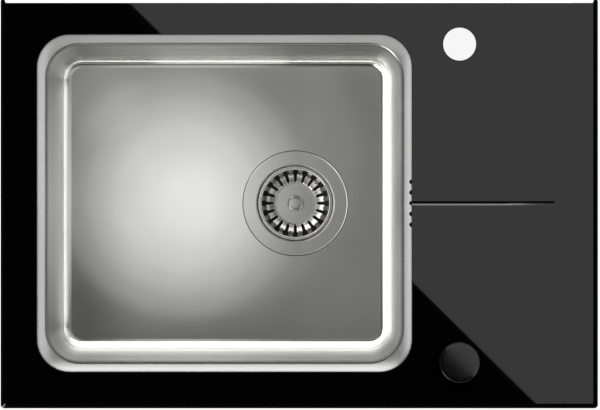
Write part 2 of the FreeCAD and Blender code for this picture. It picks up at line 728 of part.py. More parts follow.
def waste_top_seal():
    return ring(WASTE_HOLE_RADIUS, WASTE_FLANGE_RADIUS, (RECESS_Z, RECESS_Z + FLANGE_SEAL), WASTE_X, 0)


def waste_gasket():
    return ring(BODY_CAVITY, WASTE_FLANGE_RADIUS, (BODY_TOP, RECESS_UNDER), WASTE_X, 0)


def waste_screws():
    screws = []
    for x, y in waste_screw_places():
        head = disc(WASTE_SCREW_HEAD, (CUP_FLOOR, CUP_FLOOR + WASTE_SCREW_HEAD_HEIGHT), x, y)
        shank = disc(WASTE_SCREW_RADIUS, (CUP_FLOOR - WASTE_SCREW_LENGTH, CUP_FLOOR), x, y)
        screws.append(head.fuse(shank))
    return Part.makeCompound(screws)


def waste_body():
    rim_under = BODY_TOP - BODY_RIM_HEIGHT
    shell = turned(
        [
            (0, BODY_TOP),
            (WASTE_FLANGE_RADIUS, BODY_TOP),
            (WASTE_FLANGE_RADIUS, rim_under),
            (BODY_RADIUS, rim_under - BODY_RIM_HEIGHT),
            (BODY_RADIUS, BODY_UNDER + BODY_RIM_HEIGHT),
            (BODY_RADIUS - BODY_RIM_HEIGHT, BODY_UNDER),
            (OUTLET_RADIUS, BODY_UNDER),
            (OUTLET_RADIUS, OUTLET_END),
            (0, OUTLET_END),
        ],
        WASTE_X,
        0,
    )
    socket = rod_along_x(SOCKET_BORE + SOCKET_WALL, (WASTE_X + BODY_CAVITY, SOCKET_END), 0, INLET_Z)
    shaft_boss = rod_along_y(SHAFT_BOSS_RADIUS, (SHAFT_BOSS_END, -BODY_CAVITY / 2), SHAFT_X, SHAFT_Z)
    bracket = box(
        (BRACKET_X, BRACKET_X + BRACKET_THICKNESS),
        (ROD_Y - BRACKET_HEIGHT / 2, 0),
        (ROD_Z - BRACKET_HEIGHT / 2, ROD_Z + BRACKET_HEIGHT / 2),
    )
    body = shell.fuse([socket, shaft_boss, bracket])
    cavity = turned(
        [
            (0, BODY_TOP),
            (BODY_CAVITY, BODY_TOP),
            (BODY_CAVITY, BODY_FLOOR + BODY_RIM_HEIGHT),
            (BODY_CAVITY - BODY_RIM_HEIGHT, BODY_FLOOR),
            (OUTLET_RADIUS - OUTLET_WALL, BODY_FLOOR),
            (OUTLET_RADIUS - OUTLET_WALL, OUTLET_END),
            (0, OUTLET_END),
        ],
        WASTE_X,
        0,
    )
    body = body.cut(cavity)
    pillars = [disc(PILLAR_RADIUS, (BODY_UNDER, CUP_UNDER), x, y) for x, y in waste_screw_places()]
    body = body.fuse(pillars).removeSplitter()
    for x, y in waste_screw_places():
        pilot = (CUP_FLOOR - WASTE_SCREW_LENGTH - LOOSE_FIT, CUP_UNDER)
        body = body.cut(disc(WASTE_SCREW_RADIUS + SLIDING_FIT, pilot, x, y))
    body = body.cut(rod_along_x(SOCKET_BORE, (WASTE_X + BODY_RADIUS, SOCKET_END), 0, INLET_Z))
    body = body.cut(rod_along_x(PIPE_BORE, (WASTE_X + BODY_CAVITY / 2, SOCKET_END), 0, INLET_Z))
    body = body.cut(rod_along_y(SHAFT_RADIUS + SLIDING_FIT, (SHAFT_BOSS_END, 0), SHAFT_X, SHAFT_Z))
    pocket_end = SHAFT_BOSS_END + SHAFT_BUSH_LENGTH + SHAFT_SEAL_LENGTH
    body = body.cut(rod_along_y(SHAFT_BUSH_RADIUS, (SHAFT_BOSS_END, pocket_end), SHAFT_X, SHAFT_Z))
    gland = (BRACKET_X, BRACKET_X + BRACKET_THICKNESS)
    return body.cut(rod_along_x(FERRULE_RADIUS, gland, ROD_Y, ROD_Z))


# Strainer basket with its plug

def basket_slot():
    inner = BASKET_DISC_RADIUS + SLOT_LAND
    outer = BASKET_MOUTH - SLOT_LAND - SLOT_END_RADIUS
    lean = math.asin((SLOT_END_RADIUS - SLOT_INNER_WIDTH / 2) / (outer - inner))
    touch_x = WASTE_X + outer - SLOT_END_RADIUS * math.sin(lean)
    touch_y = SLOT_END_RADIUS * math.cos(lean)
    corners = [
        Vector(WASTE_X + inner, -SLOT_INNER_WIDTH / 2, BASKET_UNDER),
        Vector(touch_x, -touch_y, BASKET_UNDER),
        Vector(WASTE_X + outer + SLOT_END_RADIUS, 0, BASKET_UNDER),
        Vector(touch_x, touch_y, BASKET_UNDER),
        Vector(WASTE_X + inner, SLOT_INNER_WIDTH / 2, BASKET_UNDER),
    ]
    outline = Part.Wire([
        Part.makeLine(corners[0], corners[1]),
        Part.Arc(corners[1], corners[2], corners[3]).toShape(),
        Part.makeLine(corners[3], corners[4]),
        Part.makeLine(corners[4], corners[0]),
    ])
    return Part.Face(outline).extrude(Vector(0, 0, BASKET_TOP - BASKET_UNDER))


def basket_shell():
    profile = [
        (STEM_RADIUS + SLIDING_FIT, BASKET_DISC),
        (BASKET_DISC_RADIUS, BASKET_DISC),
        (BASKET_KNEE_RADIUS, BASKET_KNEE),
        (BASKET_MOUTH, BASKET_TOP),
        (BASKET_RADIUS, BASKET_TOP),
        (BASKET_RADIUS, BASKET_TOP - BASKET_RIM_TURN),
        (BASKET_RADIUS - BASKET_SHEET, BASKET_TOP - BASKET_RIM_TURN),
        (BASKET_RADIUS - BASKET_SHEET, BASKET_TOP - BASKET_SHEET),
        (BASKET_MOUTH + BASKET_SHEET / 2, BASKET_TOP - BASKET_SHEET),
        (BASKET_KNEE_RADIUS + BASKET_SHEET / 2, BASKET_KNEE - BASKET_SHEET),
        (BASKET_DISC_RADIUS + BASKET_SHEET / 2, BASKET_UNDER),
        (STEM_RADIUS + SLIDING_FIT, BASKET_UNDER),
    ]
    slot = basket_slot()
    step = 360.0 / SLOT_COUNT
    slots = [around(slot, index * step, WASTE_X, 0) for index in range(SLOT_COUNT)]
    return turned(profile, WASTE_X, 0).cut(slots)


def basket_button():
    top = BASKET_DISC + BUTTON_HEIGHT
    profile = [
        (0, PLUG_PLATE_UNDER),
        (STEM_RADIUS, PLUG_PLATE_UNDER),
        (STEM_RADIUS, BASKET_DISC),
        (BUTTON_NECK, BASKET_DISC),
        (BUTTON_NECK, top - BUTTON_CAP),
        (BUTTON_RADIUS, top - BUTTON_CAP),
        (BUTTON_RADIUS, top - BUTTON_EDGE),
        (BUTTON_RADIUS - BUTTON_EDGE, top),
        (0, top),
    ]
    return turned(profile, WASTE_X, 0)


def plug_seal():
    return ring(STEM_RADIUS + SLIDING_FIT, PLUG_SEAL_RADIUS, (PLUG_SEAL_UNDER, BASKET_UNDER), WASTE_X, 0)


def plug_plate():
    return ring(STEM_RADIUS + SLIDING_FIT, PLUG_PLATE_RADIUS, (PLUG_PLATE_UNDER, PLUG_SEAL_UNDER), WASTE_X, 0)


# Lift pin and lever

def lift_pin():
    return disc(PIN_RADIUS, (PIN_BOTTOM, PIN_TOP), WASTE_X, 0)


def leaned(shape):
    copy = shape.copy()
    copy.rotate(Vector(SHAFT_X, 0, SHAFT_Z), ALONG_Y, math.degrees(LEVER_REST))
    return copy


def lever_finger():
    half = FINGER_WIDTH / 2
    boss = rod_along_y(FINGER_BOSS_RADIUS, (-half, half), SHAFT_X, SHAFT_Z)
    tip = rod_along_y(FINGER_TIP_RADIUS, (-half, half), WASTE_X, SHAFT_Z)
    bar = box((WASTE_X, SHAFT_X), (-half, half), (SHAFT_Z - FINGER_BAR / 2, SHAFT_Z + FINGER_BAR / 2))
    finger = boss.fuse([tip, bar]).removeSplitter()
    return leaned(finger.cut(rod_along_y(SHAFT_RADIUS, (-half, half), SHAFT_X, SHAFT_Z)))


def lever_shaft():
    return rod_along_y(SHAFT_RADIUS, (SHAFT_END, FINGER_WIDTH / 2), SHAFT_X, SHAFT_Z)


def shaft_bush():
    y_range = (SHAFT_BOSS_END, SHAFT_BOSS_END + SHAFT_BUSH_LENGTH)
    bush = rod_along_y(SHAFT_BUSH_RADIUS, y_range, SHAFT_X, SHAFT_Z)
    return bush.cut(rod_along_y(SHAFT_RADIUS + SLIDING_FIT, y_range, SHAFT_X, SHAFT_Z))


def shaft_seal():
    start = SHAFT_BOSS_END + SHAFT_BUSH_LENGTH
    y_range = (start, start + SHAFT_SEAL_LENGTH)
    seal = rod_along_y(SHAFT_BUSH_RADIUS, y_range, SHAFT_X, SHAFT_Z)
    return seal.cut(rod_along_y(SHAFT_RADIUS + SLIDING_FIT, y_range, SHAFT_X, SHAFT_Z))


def lever_crank():
    y_range = (SHAFT_END, CRANK_Y)
    slot_half = CRANK_PIN_RADIUS + CRANK_SLOT_PLAY
    reach = CRANK_HEIGHT / math.cos(LEVER_SWING / 2)
    top = SHAFT_Z + reach + slot_half
    bottom = SHAFT_Z + CRANK_HEIGHT - slot_half
    hub = rod_along_y(CRANK_HUB_RADIUS, y_range, SHAFT_X, SHAFT_Z)
    arm = box((SHAFT_X - CRANK_WIDTH / 2, SHAFT_X + CRANK_WIDTH / 2), y_range, (SHAFT_Z, top + slot_half))
    slot = box((SHAFT_X - slot_half, SHAFT_X + slot_half), y_range, (bottom, top))
    crank = hub.fuse(arm).removeSplitter().cut(slot)
    return leaned(crank.cut(rod_along_y(SHAFT_RADIUS, y_range, SHAFT_X, SHAFT_Z)))


def lever_rod():
    half = ROD_EYE_THICKNESS / 2
    eye = rod_along_y(ROD_EYE_RADIUS, (ROD_Y - half, ROD_Y + half), CRANK_PIN_X, ROD_Z)
    pin = rod_along_y(CRANK_PIN_RADIUS, (SHAFT_END, ROD_Y), CRANK_PIN_X, ROD_Z)
    reach = BRACKET_X + FERRULE_OUTSIDE - RACK_TRAVEL - LOOSE_FIT
    return eye.fuse([pin, rod_along_x(ROD_RADIUS, (CRANK_PIN_X, reach), ROD_Y, ROD_Z)])


def cable_ferrules():
    waste_range = (BRACKET_X - FERRULE_INSIDE, BRACKET_X + FERRULE_OUTSIDE)
    waste_end = rod_along_x(FERRULE_RADIUS, waste_range, ROD_Y, ROD_Z)
    waste_end = waste_end.cut(rod_along_x(FERRULE_BORE, waste_range, ROD_Y, ROD_Z))
    wall = KNOB_Y + CAVITY_HALF_Y
    knob_range = (wall, wall + FERRULE_OUTSIDE)
    knob_end = rod_along_y(FERRULE_RADIUS, knob_range, RACK_ROD_X, RACK_ROD_Z)
    knob_end = knob_end.cut(rod_along_y(FERRULE_BORE, knob_range, RACK_ROD_X, RACK_ROD_Z))
    return Part.makeCompound([waste_end, knob_end])


# Overflow

def overflow_gasket():
    inner_x = (COLLECTOR_LEFT + COLLECTOR_WALL, COLLECTOR_RIGHT - COLLECTOR_WALL)
    inner_y = COLLECTOR_HALF_Y - COLLECTOR_WALL
    levels = (COLLECTOR_TOP, LEDGE_UNDER)
    frame = box((COLLECTOR_LEFT, COLLECTOR_RIGHT), (-COLLECTOR_HALF_Y, COLLECTOR_HALF_Y), levels)
    return frame.cut(box(inner_x, (-inner_y, inner_y), levels))


def overflow_collector():
    outer_x = (COLLECTOR_LEFT, COLLECTOR_RIGHT)
    inner_x = (COLLECTOR_LEFT + COLLECTOR_WALL, COLLECTOR_RIGHT - COLLECTOR_WALL)
    inner_y = COLLECTOR_HALF_Y - COLLECTOR_WALL
    ear_y = COLLECTOR_HALF_Y + COLLECTOR_EAR
    tub = box(outer_x, (-COLLECTOR_HALF_Y, COLLECTOR_HALF_Y), (COLLECTOR_BOTTOM, COLLECTOR_TOP))
    ears = box(outer_x, (-ear_y, ear_y), (COLLECTOR_TOP - COLLECTOR_EAR_HEIGHT, COLLECTOR_TOP))
    spigot = disc(SPIGOT_RADIUS, (COLLECTOR_BOTTOM - SPIGOT_LENGTH, COLLECTOR_BOTTOM), COLLECTOR_X, 0)
    collector = tub.fuse([ears, spigot]).removeSplitter()
    hollow_levels = (COLLECTOR_BOTTOM + COLLECTOR_WALL, COLLECTOR_TOP)
    collector = collector.cut(box(inner_x, (-inner_y, inner_y), hollow_levels))
    bore_levels = (COLLECTOR_BOTTOM - SPIGOT_LENGTH, COLLECTOR_TOP)
    collector = collector.cut(disc(SPIGOT_RADIUS - SPIGOT_WALL, bore_levels, COLLECTOR_X, 0))
    for side in (-1, 1):
        hole = disc(
            OVERFLOW_STUD_RADIUS + LOOSE_FIT,
            (COLLECTOR_TOP - COLLECTOR_EAR_HEIGHT, COLLECTOR_TOP),
            COLLECTOR_X,
            side * OVERFLOW_STUD_Y,
        )
        collector = collector.cut(hole)
    return collector


def overflow_studs():
    levels = (LEDGE_UNDER - OVERFLOW_STUD_LENGTH, LEDGE_UNDER)
    return Part.makeCompound(
        [disc(OVERFLOW_STUD_RADIUS, levels, COLLECTOR_X, side * OVERFLOW_STUD_Y) for side in (-1, 1)]
    )


def overflow_nuts():
    top = COLLECTOR_TOP - COLLECTOR_EAR_HEIGHT
    levels = (top - OVERFLOW_NUT_HEIGHT, top)
    bore = OVERFLOW_STUD_RADIUS + SLIDING_FIT
    nuts = []
    for side in (-1, 1):
        nuts.append(hexagon_nut(OVERFLOW_NUT_ACROSS, bore, levels, COLLECTOR_X, side * OVERFLOW_STUD_Y))
    return Part.makeCompound(nuts)


def overflow_pipe():
    bend_z = INLET_Z + PIPE_BEND
    bend_x = COLLECTOR_X - PIPE_BEND
    pipe_end = WASTE_X + BODY_RADIUS + SLIDING_FIT
    top = Vector(COLLECTOR_X, 0, COLLECTOR_BOTTOM)
    bend_start = Vector(COLLECTOR_X, 0, bend_z)
    half_bend = PIPE_BEND * math.cos(math.pi / 4)
    bend_middle = Vector(bend_x + half_bend, 0, bend_z - half_bend)
    bend_end = Vector(bend_x, 0, INLET_Z)
    path = Part.Wire([
        Part.makeLine(top, bend_start),
        Part.Arc(bend_start, bend_middle, bend_end).toShape(),
        Part.makeLine(bend_end, Vector(pipe_end, 0, INLET_Z)),
    ])

    def swept(radius):
        return path.makePipeShell([Part.Wire(Part.makeCircle(radius, top, ALONG_Z))], True, True)

    collar_levels = (COLLECTOR_BOTTOM - PIPE_COLLAR_LENGTH, COLLECTOR_BOTTOM)
    collar = disc(PIPE_RADIUS + PIPE_COLLAR, collar_levels, COLLECTOR_X, 0)
    return swept(PIPE_RADIUS).fuse(collar).cut(swept(PIPE_BORE))


def overflow_seal():
    x_range = (SOCKET_END - PIPE_SEAL_LENGTH, SOCKET_END)
    seal = rod_along_x(SOCKET_BORE, x_range, 0, INLET_Z)
    return seal.cut(rod_along_x(PIPE_RADIUS, x_range, 0, INLET_Z))


# Plug control

def control_knob():
    inner = KNOB_RADIUS - KNOB_WALL
    profile = [
        (0, KNOB_TOP),
        (KNOB_RADIUS - KNOB_EDGE, KNOB_TOP),
        (KNOB_RADIUS, KNOB_TOP - KNOB_EDGE),
        (KNOB_RADIUS, KNOB_BOTTOM),
        (inner, KNOB_BOTTOM),
        (inner, KNOB_CEILING),
        (KNOB_HUB_RADIUS, KNOB_CEILING),
        (KNOB_HUB_RADIUS, KNOB_CEILING - KNOB_HUB_DROP),
        (SPINDLE_RADIUS, KNOB_CEILING - KNOB_HUB_DROP),
        (SPINDLE_RADIUS, KNOB_CEILING),
        (0, KNOB_CEILING),
    ]
    knob = turned(profile, KNOB_X, KNOB_Y)
    return knob.cut(rod_along_y(GRUB_RADIUS, (KNOB_Y, KNOB_Y + KNOB_RADIUS), KNOB_X, GRUB_Z))


def knob_grub_screw():
    y_range = (KNOB_Y + SPINDLE_RADIUS, KNOB_Y + KNOB_HUB_RADIUS)
    screw = rod_along_y(GRUB_RADIUS, y_range, KNOB_X, GRUB_Z)
    return screw.cut(disc(SPINDLE_RADIUS, (KNOB_BOTTOM, KNOB_TOP), KNOB_X, KNOB_Y))


def control_spindle():
    profile = [
        (0, KNOB_CEILING),
        (SPINDLE_RADIUS, KNOB_CEILING),
        (SPINDLE_RADIUS, GEAR_BOTTOM),
        (SPINDLE_JOURNAL_RADIUS, GEAR_BOTTOM),
        (SPINDLE_JOURNAL_RADIUS, COVER_UNDER),
        (0, COVER_UNDER),
    ]
    return turned(profile, KNOB_X, KNOB_Y)


def drive_pinion():
    base = PINION_RADIUS * math.cos(PRESSURE_ANGLE)
    tip = PINION_RADIUS + GEAR_ADDENDUM * GEAR_MODULE
    root = PINION_RADIUS - GEAR_DEDENDUM * GEAR_MODULE
    half_pitch = (math.pi * GEAR_MODULE / 2 - GEAR_BACKLASH) / (2 * PINION_RADIUS)
    half_base = half_pitch + math.tan(PRESSURE_ANGLE) - PRESSURE_ANGLE

    def flank_angle(radius):
        roll = math.acos(min(1.0, base / radius))
        return half_base - (math.tan(roll) - roll)

    def place(radius, angle):
        return Vector(KNOB_X + radius * math.cos(angle), KNOB_Y + radius * math.sin(angle), GEAR_BOTTOM)

    radii = [base + (tip - base) * index / (FLANK_POINTS - 1) for index in range(FLANK_POINTS)]
    points = []
    for tooth in range(PINION_TEETH):
        middle = 2 * math.pi * tooth / PINION_TEETH
        points.append(place(root, middle - half_base))
        points += [place(radius, middle - flank_angle(radius)) for radius in radii]
        points += [place(radius, middle + flank_angle(radius)) for radius in reversed(radii)]
        points.append(place(root, middle + half_base))
    blank = Part.Face(Part.makePolygon(points + points[:1])).extrude(Vector(0, 0, GEAR_WIDTH))
    return blank.cut(disc(SPINDLE_RADIUS, (GEAR_BOTTOM, GEAR_TOP), KNOB_X, KNOB_Y))


def drive_rack():
    pitch = math.pi * GEAR_MODULE
    tip_x = RACK_PITCH_X - GEAR_ADDENDUM * GEAR_MODULE
    root_x = RACK_PITCH_X + GEAR_DEDENDUM * GEAR_MODULE
    half = (pitch / 2 - GEAR_BACKLASH) / 2
    half_tip = half - GEAR_ADDENDUM * GEAR_MODULE * math.tan(PRESSURE_ANGLE)
    half_root = half + GEAR_DEDENDUM * GEAR_MODULE * math.tan(PRESSURE_ANGLE)
    points = [Vector(RACK_BACK_X, RACK_FRONT, GEAR_BOTTOM), Vector(root_x, RACK_FRONT, GEAR_BOTTOM)]
    start = KNOB_Y + pitch / 2
    first = math.ceil((RACK_FRONT + half_root - start) / pitch)
    last = math.floor((RACK_REAR - half_root - start) / pitch)
    for tooth in range(first, last + 1):
        middle = start + tooth * pitch
        points.append(Vector(root_x, middle - half_root, GEAR_BOTTOM))
        points.append(Vector(tip_x, middle - half_tip, GEAR_BOTTOM))
        points.append(Vector(tip_x, middle + half_tip, GEAR_BOTTOM))
        points.append(Vector(root_x, middle + half_root, GEAR_BOTTOM))
    points += [Vector(root_x, RACK_REAR, GEAR_BOTTOM), Vector(RACK_BACK_X, RACK_REAR, GEAR_BOTTOM)]
    return Part.Face(Part.makePolygon(points + points[:1])).extrude(Vector(0, 0, GEAR_WIDTH))


def rack_rod():
    reach = KNOB_Y + CAVITY_HALF_Y + FERRULE_OUTSIDE - LOOSE_FIT
    return rod_along_y(ROD_RADIUS, (RACK_REAR, reach), RACK_ROD_X, RACK_ROD_Z)


def control_bush():
    profile = [
        (BUSH_BORE, BUSH_TOP),
        (BUSH_FLANGE_RADIUS, BUSH_TOP),
        (BUSH_FLANGE_RADIUS, BUSH_SEAL_TOP),
        (BUSH_RADIUS, BUSH_SEAL_TOP),
        (BUSH_RADIUS, BUSH_BOTTOM),
        (BUSH_BORE, BUSH_BOTTOM),
    ]
    return turned(profile, KNOB_X, KNOB_Y)


def bush_seal():
    return ring(KNOB_HOLE_RADIUS + ARRIS, BUSH_FLANGE_RADIUS, (GLASS_TOP, BUSH_SEAL_TOP), KNOB_X, KNOB_Y)


def bush_washer():
    levels = (BUSH_WASHER_UNDER, GLASS_BOTTOM)
    return ring(BUSH_RADIUS + SLIDING_FIT, BUSH_WASHER_RADIUS, levels, KNOB_X, KNOB_Y)


def bush_nut():
    levels = (BUSH_WASHER_UNDER - BUSH_NUT_HEIGHT, BUSH_WASHER_UNDER)
    return hexagon_nut(BUSH_NUT_ACROSS, BUSH_RADIUS + SLIDING_FIT, levels, KNOB_X, KNOB_Y)


def cover_screw_places():
    reach = HOUSING_HALF_X + COVER_EAR - HOUSING_WALL / 2
    side_y = HOUSING_HALF_Y - COVER_EAR
    return [(KNOB_X + sx * reach, KNOB_Y + sy * side_y) for sx in (-1, 1) for sy in (-1, 1)]


def around_knob(half_x, half_y, levels):
    return box((KNOB_X - half_x, KNOB_X + half_x), (KNOB_Y - half_y, KNOB_Y + half_y), levels)


def drive_housing():
    levels = (HOUSING_BOTTOM, BUSH_BOTTOM)
    shell = around_knob(HOUSING_HALF_X, HOUSING_HALF_Y, levels)
    collar_levels = (BUSH_BOTTOM, BUSH_BOTTOM + HOUSING_COLLAR_HEIGHT)
    collar = disc(BUSH_RADIUS + SLIDING_FIT + HOUSING_COLLAR, collar_levels, KNOB_X, KNOB_Y)
    ears = [disc(COVER_EAR, levels, x, y) for x, y in cover_screw_places()]
    housing = shell.fuse(ears + [collar]).removeSplitter()
    housing = housing.cut(disc(BUSH_RADIUS + SLIDING_FIT, collar_levels, KNOB_X, KNOB_Y))
    housing = housing.cut(around_knob(CAVITY_HALF_X, CAVITY_HALF_Y, (HOUSING_BOTTOM, HOUSING_CEILING)))
    housing = housing.cut(disc(BUSH_BORE, (HOUSING_CEILING, BUSH_BOTTOM), KNOB_X, KNOB_Y))
    wall = (KNOB_Y + CAVITY_HALF_Y, KNOB_Y + HOUSING_HALF_Y)
    housing = housing.cut(rod_along_y(FERRULE_RADIUS, wall, RACK_ROD_X, RACK_ROD_Z))
    for x, y in cover_screw_places():
        pilot = (HOUSING_BOTTOM, HOUSING_BOTTOM + COVER_SCREW_LENGTH - COVER_THICKNESS + LOOSE_FIT)
        housing = housing.cut(disc(COVER_SCREW_RADIUS + SLIDING_FIT, pilot, x, y))
    return housing


def drive_cover():
    levels = (COVER_UNDER, HOUSING_BOTTOM)
    plate = around_knob(HOUSING_HALF_X, HOUSING_HALF_Y, levels)
    ears = [disc(COVER_EAR, levels, x, y) for x, y in cover_screw_places()]
    cover = plate.fuse(ears).removeSplitter()
    cover = cover.cut(disc(SPINDLE_JOURNAL_RADIUS + SLIDING_FIT, levels, KNOB_X, KNOB_Y))
    for x, y in cover_screw_places():
        cover = cover.cut(disc(COVER_SCREW_RADIUS + SLIDING_FIT, levels, x, y))
    return cover


def cover_screws():
    screws = []
    for x, y in cover_screw_places():
        head = disc(COVER_SCREW_HEAD, (COVER_UNDER - COVER_SCREW_HEAD_HEIGHT, COVER_UNDER), x, y)
        shank = disc(COVER_SCREW_RADIUS, (COVER_UNDER, COVER_UNDER + COVER_SCREW_LENGTH), x, y)
        screws.append(head.fuse(shank))
    return Part.makeCompound(screws)


def nodes():
    pieces = {
        "glass_top": glass_top(),
        "worktop_seal": worktop_seal(),
        "bowl": bowl(),
        "bowl_bond": bowl_bond(),
        "sound_pad": sound_pad(),
        "rail_front": long_rail(-1),
        "rail_back": long_rail(1),
        "rail_left": short_rail(-1),
        "rail_right": short_rail(1),
        "rail_bonds": rail_bonds(),
        "clamp_studs": clamp_studs(),
        "waste_flange": waste_flange(),
        "waste_top_seal": waste_top_seal(),
        "waste_gasket": waste_gasket(),
        "waste_screws": waste_screws(),
        "waste_body": waste_body(),
        "basket_shell": basket_shell(),
        "basket_button": basket_button(),
        "plug_seal": plug_seal(),
        "plug_plate": plug_plate(),
        "lift_pin": lift_pin(),
        "lever_finger": lever_finger(),
        "lever_shaft": lever_shaft(),
        "lever_crank": lever_crank(),
        "lever_rod": lever_rod(),
        "shaft_bush": shaft_bush(),
        "shaft_seal": shaft_seal(),
        "cable_ferrules": cable_ferrules(),
        "overflow_gasket": overflow_gasket(),
        "overflow_collector": overflow_collector(),
        "overflow_studs": overflow_studs(),
        "overflow_nuts": overflow_nuts(),
        "overflow_pipe": overflow_pipe(),
        "overflow_seal": overflow_seal(),
        "control_knob": control_knob(),
        "knob_grub_screw": knob_grub_screw(),
        "control_spindle": control_spindle(),
        "drive_pinion": drive_pinion(),
        "drive_rack": drive_rack(),
        "rack_rod": rack_rod(),
        "control_bush": control_bush(),
        "bush_seal": bush_seal(),
        "bush_washer": bush_washer(),
        "bush_nut": bush_nut(),
        "drive_housing": drive_housing(),
        "drive_cover": drive_cover(),
        "cover_screws": cover_screws(),
    }
    for corner, (side_x, side_y) in CLAMPS.items():
        pieces["clamp_strap_" + corner] = clamp_strap(side_x, side_y)
        pieces["clamp_nut_" + corner] = clamp_nut(side_x, side_y)
    return pieces


def main():
    os.makedirs("parts", exist_ok=True)
    for name, shape in nodes().items():
        shape.exportStep(os.path.join("parts", name + ".step"))


if __name__ == "__main__":
    main()
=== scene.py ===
import json
import math

import bpy
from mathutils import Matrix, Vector


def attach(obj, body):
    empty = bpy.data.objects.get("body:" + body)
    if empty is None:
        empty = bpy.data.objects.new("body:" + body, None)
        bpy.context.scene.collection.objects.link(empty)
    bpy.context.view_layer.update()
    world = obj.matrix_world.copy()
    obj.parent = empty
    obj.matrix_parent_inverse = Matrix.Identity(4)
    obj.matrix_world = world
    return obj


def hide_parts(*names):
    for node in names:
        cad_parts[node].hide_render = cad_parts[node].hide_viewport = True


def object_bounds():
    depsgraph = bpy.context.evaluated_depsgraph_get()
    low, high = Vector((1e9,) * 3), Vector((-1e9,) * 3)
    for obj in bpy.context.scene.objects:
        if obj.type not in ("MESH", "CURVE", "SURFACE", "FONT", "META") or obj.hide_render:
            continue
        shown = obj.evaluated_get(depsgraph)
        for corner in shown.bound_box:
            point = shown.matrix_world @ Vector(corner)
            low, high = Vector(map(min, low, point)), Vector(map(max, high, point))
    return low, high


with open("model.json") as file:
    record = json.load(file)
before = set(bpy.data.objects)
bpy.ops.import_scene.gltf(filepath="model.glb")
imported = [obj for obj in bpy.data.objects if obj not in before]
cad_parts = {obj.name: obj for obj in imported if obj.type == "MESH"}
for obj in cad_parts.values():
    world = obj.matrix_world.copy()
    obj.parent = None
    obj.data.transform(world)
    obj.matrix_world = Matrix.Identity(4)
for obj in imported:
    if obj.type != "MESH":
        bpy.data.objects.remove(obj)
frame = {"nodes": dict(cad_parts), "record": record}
cad_low, cad_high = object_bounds()
MM = 0.001

# Photograph: 600 x 410, seen straight from above, 1.0631 mm of the glass to a pixel
PHOTO_SIZE = (600, 410)
PANEL_CENTRE_PIXEL = (299.25, 203.25)
PIXEL_MM = 1.0631
SENSOR_WIDTH = 36.0
LENS = 800.0
CAMERA_DISTANCE = PHOTO_SIZE[0] * PIXEL_MM * MM * LENS / SENSOR_WIDTH

# Places and sizes of the solids, in millimetres
GLASS_TOP = 9.5
GLASS_BACK = 218.0
BEVEL_WIDTH = 5.0
LEDGE_Z = 0.5
BOWL_FLOOR = -179.5
WASTE = (-4.2, 0.0)
KNOB = (170.5, -169.2)
STUD_X = 240.0
STUD_Y = 200.25
STUDS = [(side_x * STUD_X, side_y * STUD_Y) for side_x in (-1, 1) for side_y in (-1, 1)]
STUD_LEVELS = (-61.0, -1.0)
OUTLET_LEVELS = (-268.4, -252.0)
BASKET_DISC = -201.9
BASKET_RIM = -180.7

# Points of a mesh that are closer than this become one: threads, and copies of the solids
THREAD_MERGE = 0.01 * MM
COPY_MERGE = 0.002 * MM

# The studio floor lies just under the outlet
FLOOR_GAP = 0.5
FLOOR_LEVEL = cad_low.z - FLOOR_GAP * MM

BODIES = frame["record"]["behaviour"]["bodies"]
BODY_OF = {node: body for body, nodes in BODIES.items() for node in nodes}
SLOT_OF = {entry["node"]: entry["material_slot"] for entry in frame["record"]["subparts"]}


def on_panel(pixel_x, pixel_y):
    # Where a pixel of the photograph lies on the glass, in metres
    x = (pixel_x - PANEL_CENTRE_PIXEL[0]) * PIXEL_MM * MM
    y = (PANEL_CENTRE_PIXEL[1] - pixel_y) * PIXEL_MM * MM
    return x, y


def colour(hex_value):
    parts = [int(hex_value[place:place + 2], 16) / 255 for place in (1, 3, 5)]
    linear = [part / 12.92 if part <= 0.04045 else ((part + 0.055) / 1.055) ** 2.4 for part in parts]
    return (*linear, 1.0)


def add(tree, kind, inputs=None, **settings):
    node = tree.nodes.new(kind)
    for name, value in settings.items():
        setattr(node, name, value)
    for socket, value in (inputs or {}).items():
        if isinstance(value, bpy.types.NodeSocket):
            tree.links.new(value, node.inputs[socket])
        else:
            node.inputs[socket].default_value = value
    return node


def new_material(name):
    material = bpy.data.materials.new(name)
    material.use_nodes = True
    material.node_tree.nodes.clear()
    return material, material.node_tree


def finish_material(tree, shader):
    add(tree, "ShaderNodeOutputMaterial", {"Surface": shader.outputs[0]})


# Materials

def back_painted_glass():
    # Float glass painted black behind and polished: a deep mirror, green in its ground edge
    material, tree = new_material("float_glass_back_painted_black")
    place = add(tree, "ShaderNodeTexCoord").outputs["Object"]
    height = add(tree, "ShaderNodeSeparateXYZ", {0: place}).outputs["Z"]
    edge_from, edge_full = GLASS_TOP - 0.15, GLASS_TOP - 2.5
    edge = add(tree, "ShaderNodeMapRange", {
        "Value": height, "From Min": edge_from * MM, "From Max": edge_full * MM,
    })
    tint = add(tree, "ShaderNodeMixRGB", {
        "Fac": edge.outputs[0], "Color1": colour("#020203"), "Color2": colour("#07100D"),
    })
    # Wiping marks some 40 mm across leave the polish a little uneven
    wiping = add(tree, "ShaderNodeTexNoise", {"Vector": place, "Scale": 25.0, "Detail": 3.0})
    rough = add(tree, "ShaderNodeMapRange", {
        "Value": wiping.outputs[0], "To Min": 0.010, "To Max": 0.026,
    })
    shader = add(tree, "ShaderNodeBsdfPrincipled", {
        "Base Color": tint.outputs[0], "Roughness": rough.outputs[0], "IOR": 1.52,
    })
    finish_material(tree, shader)
    return material


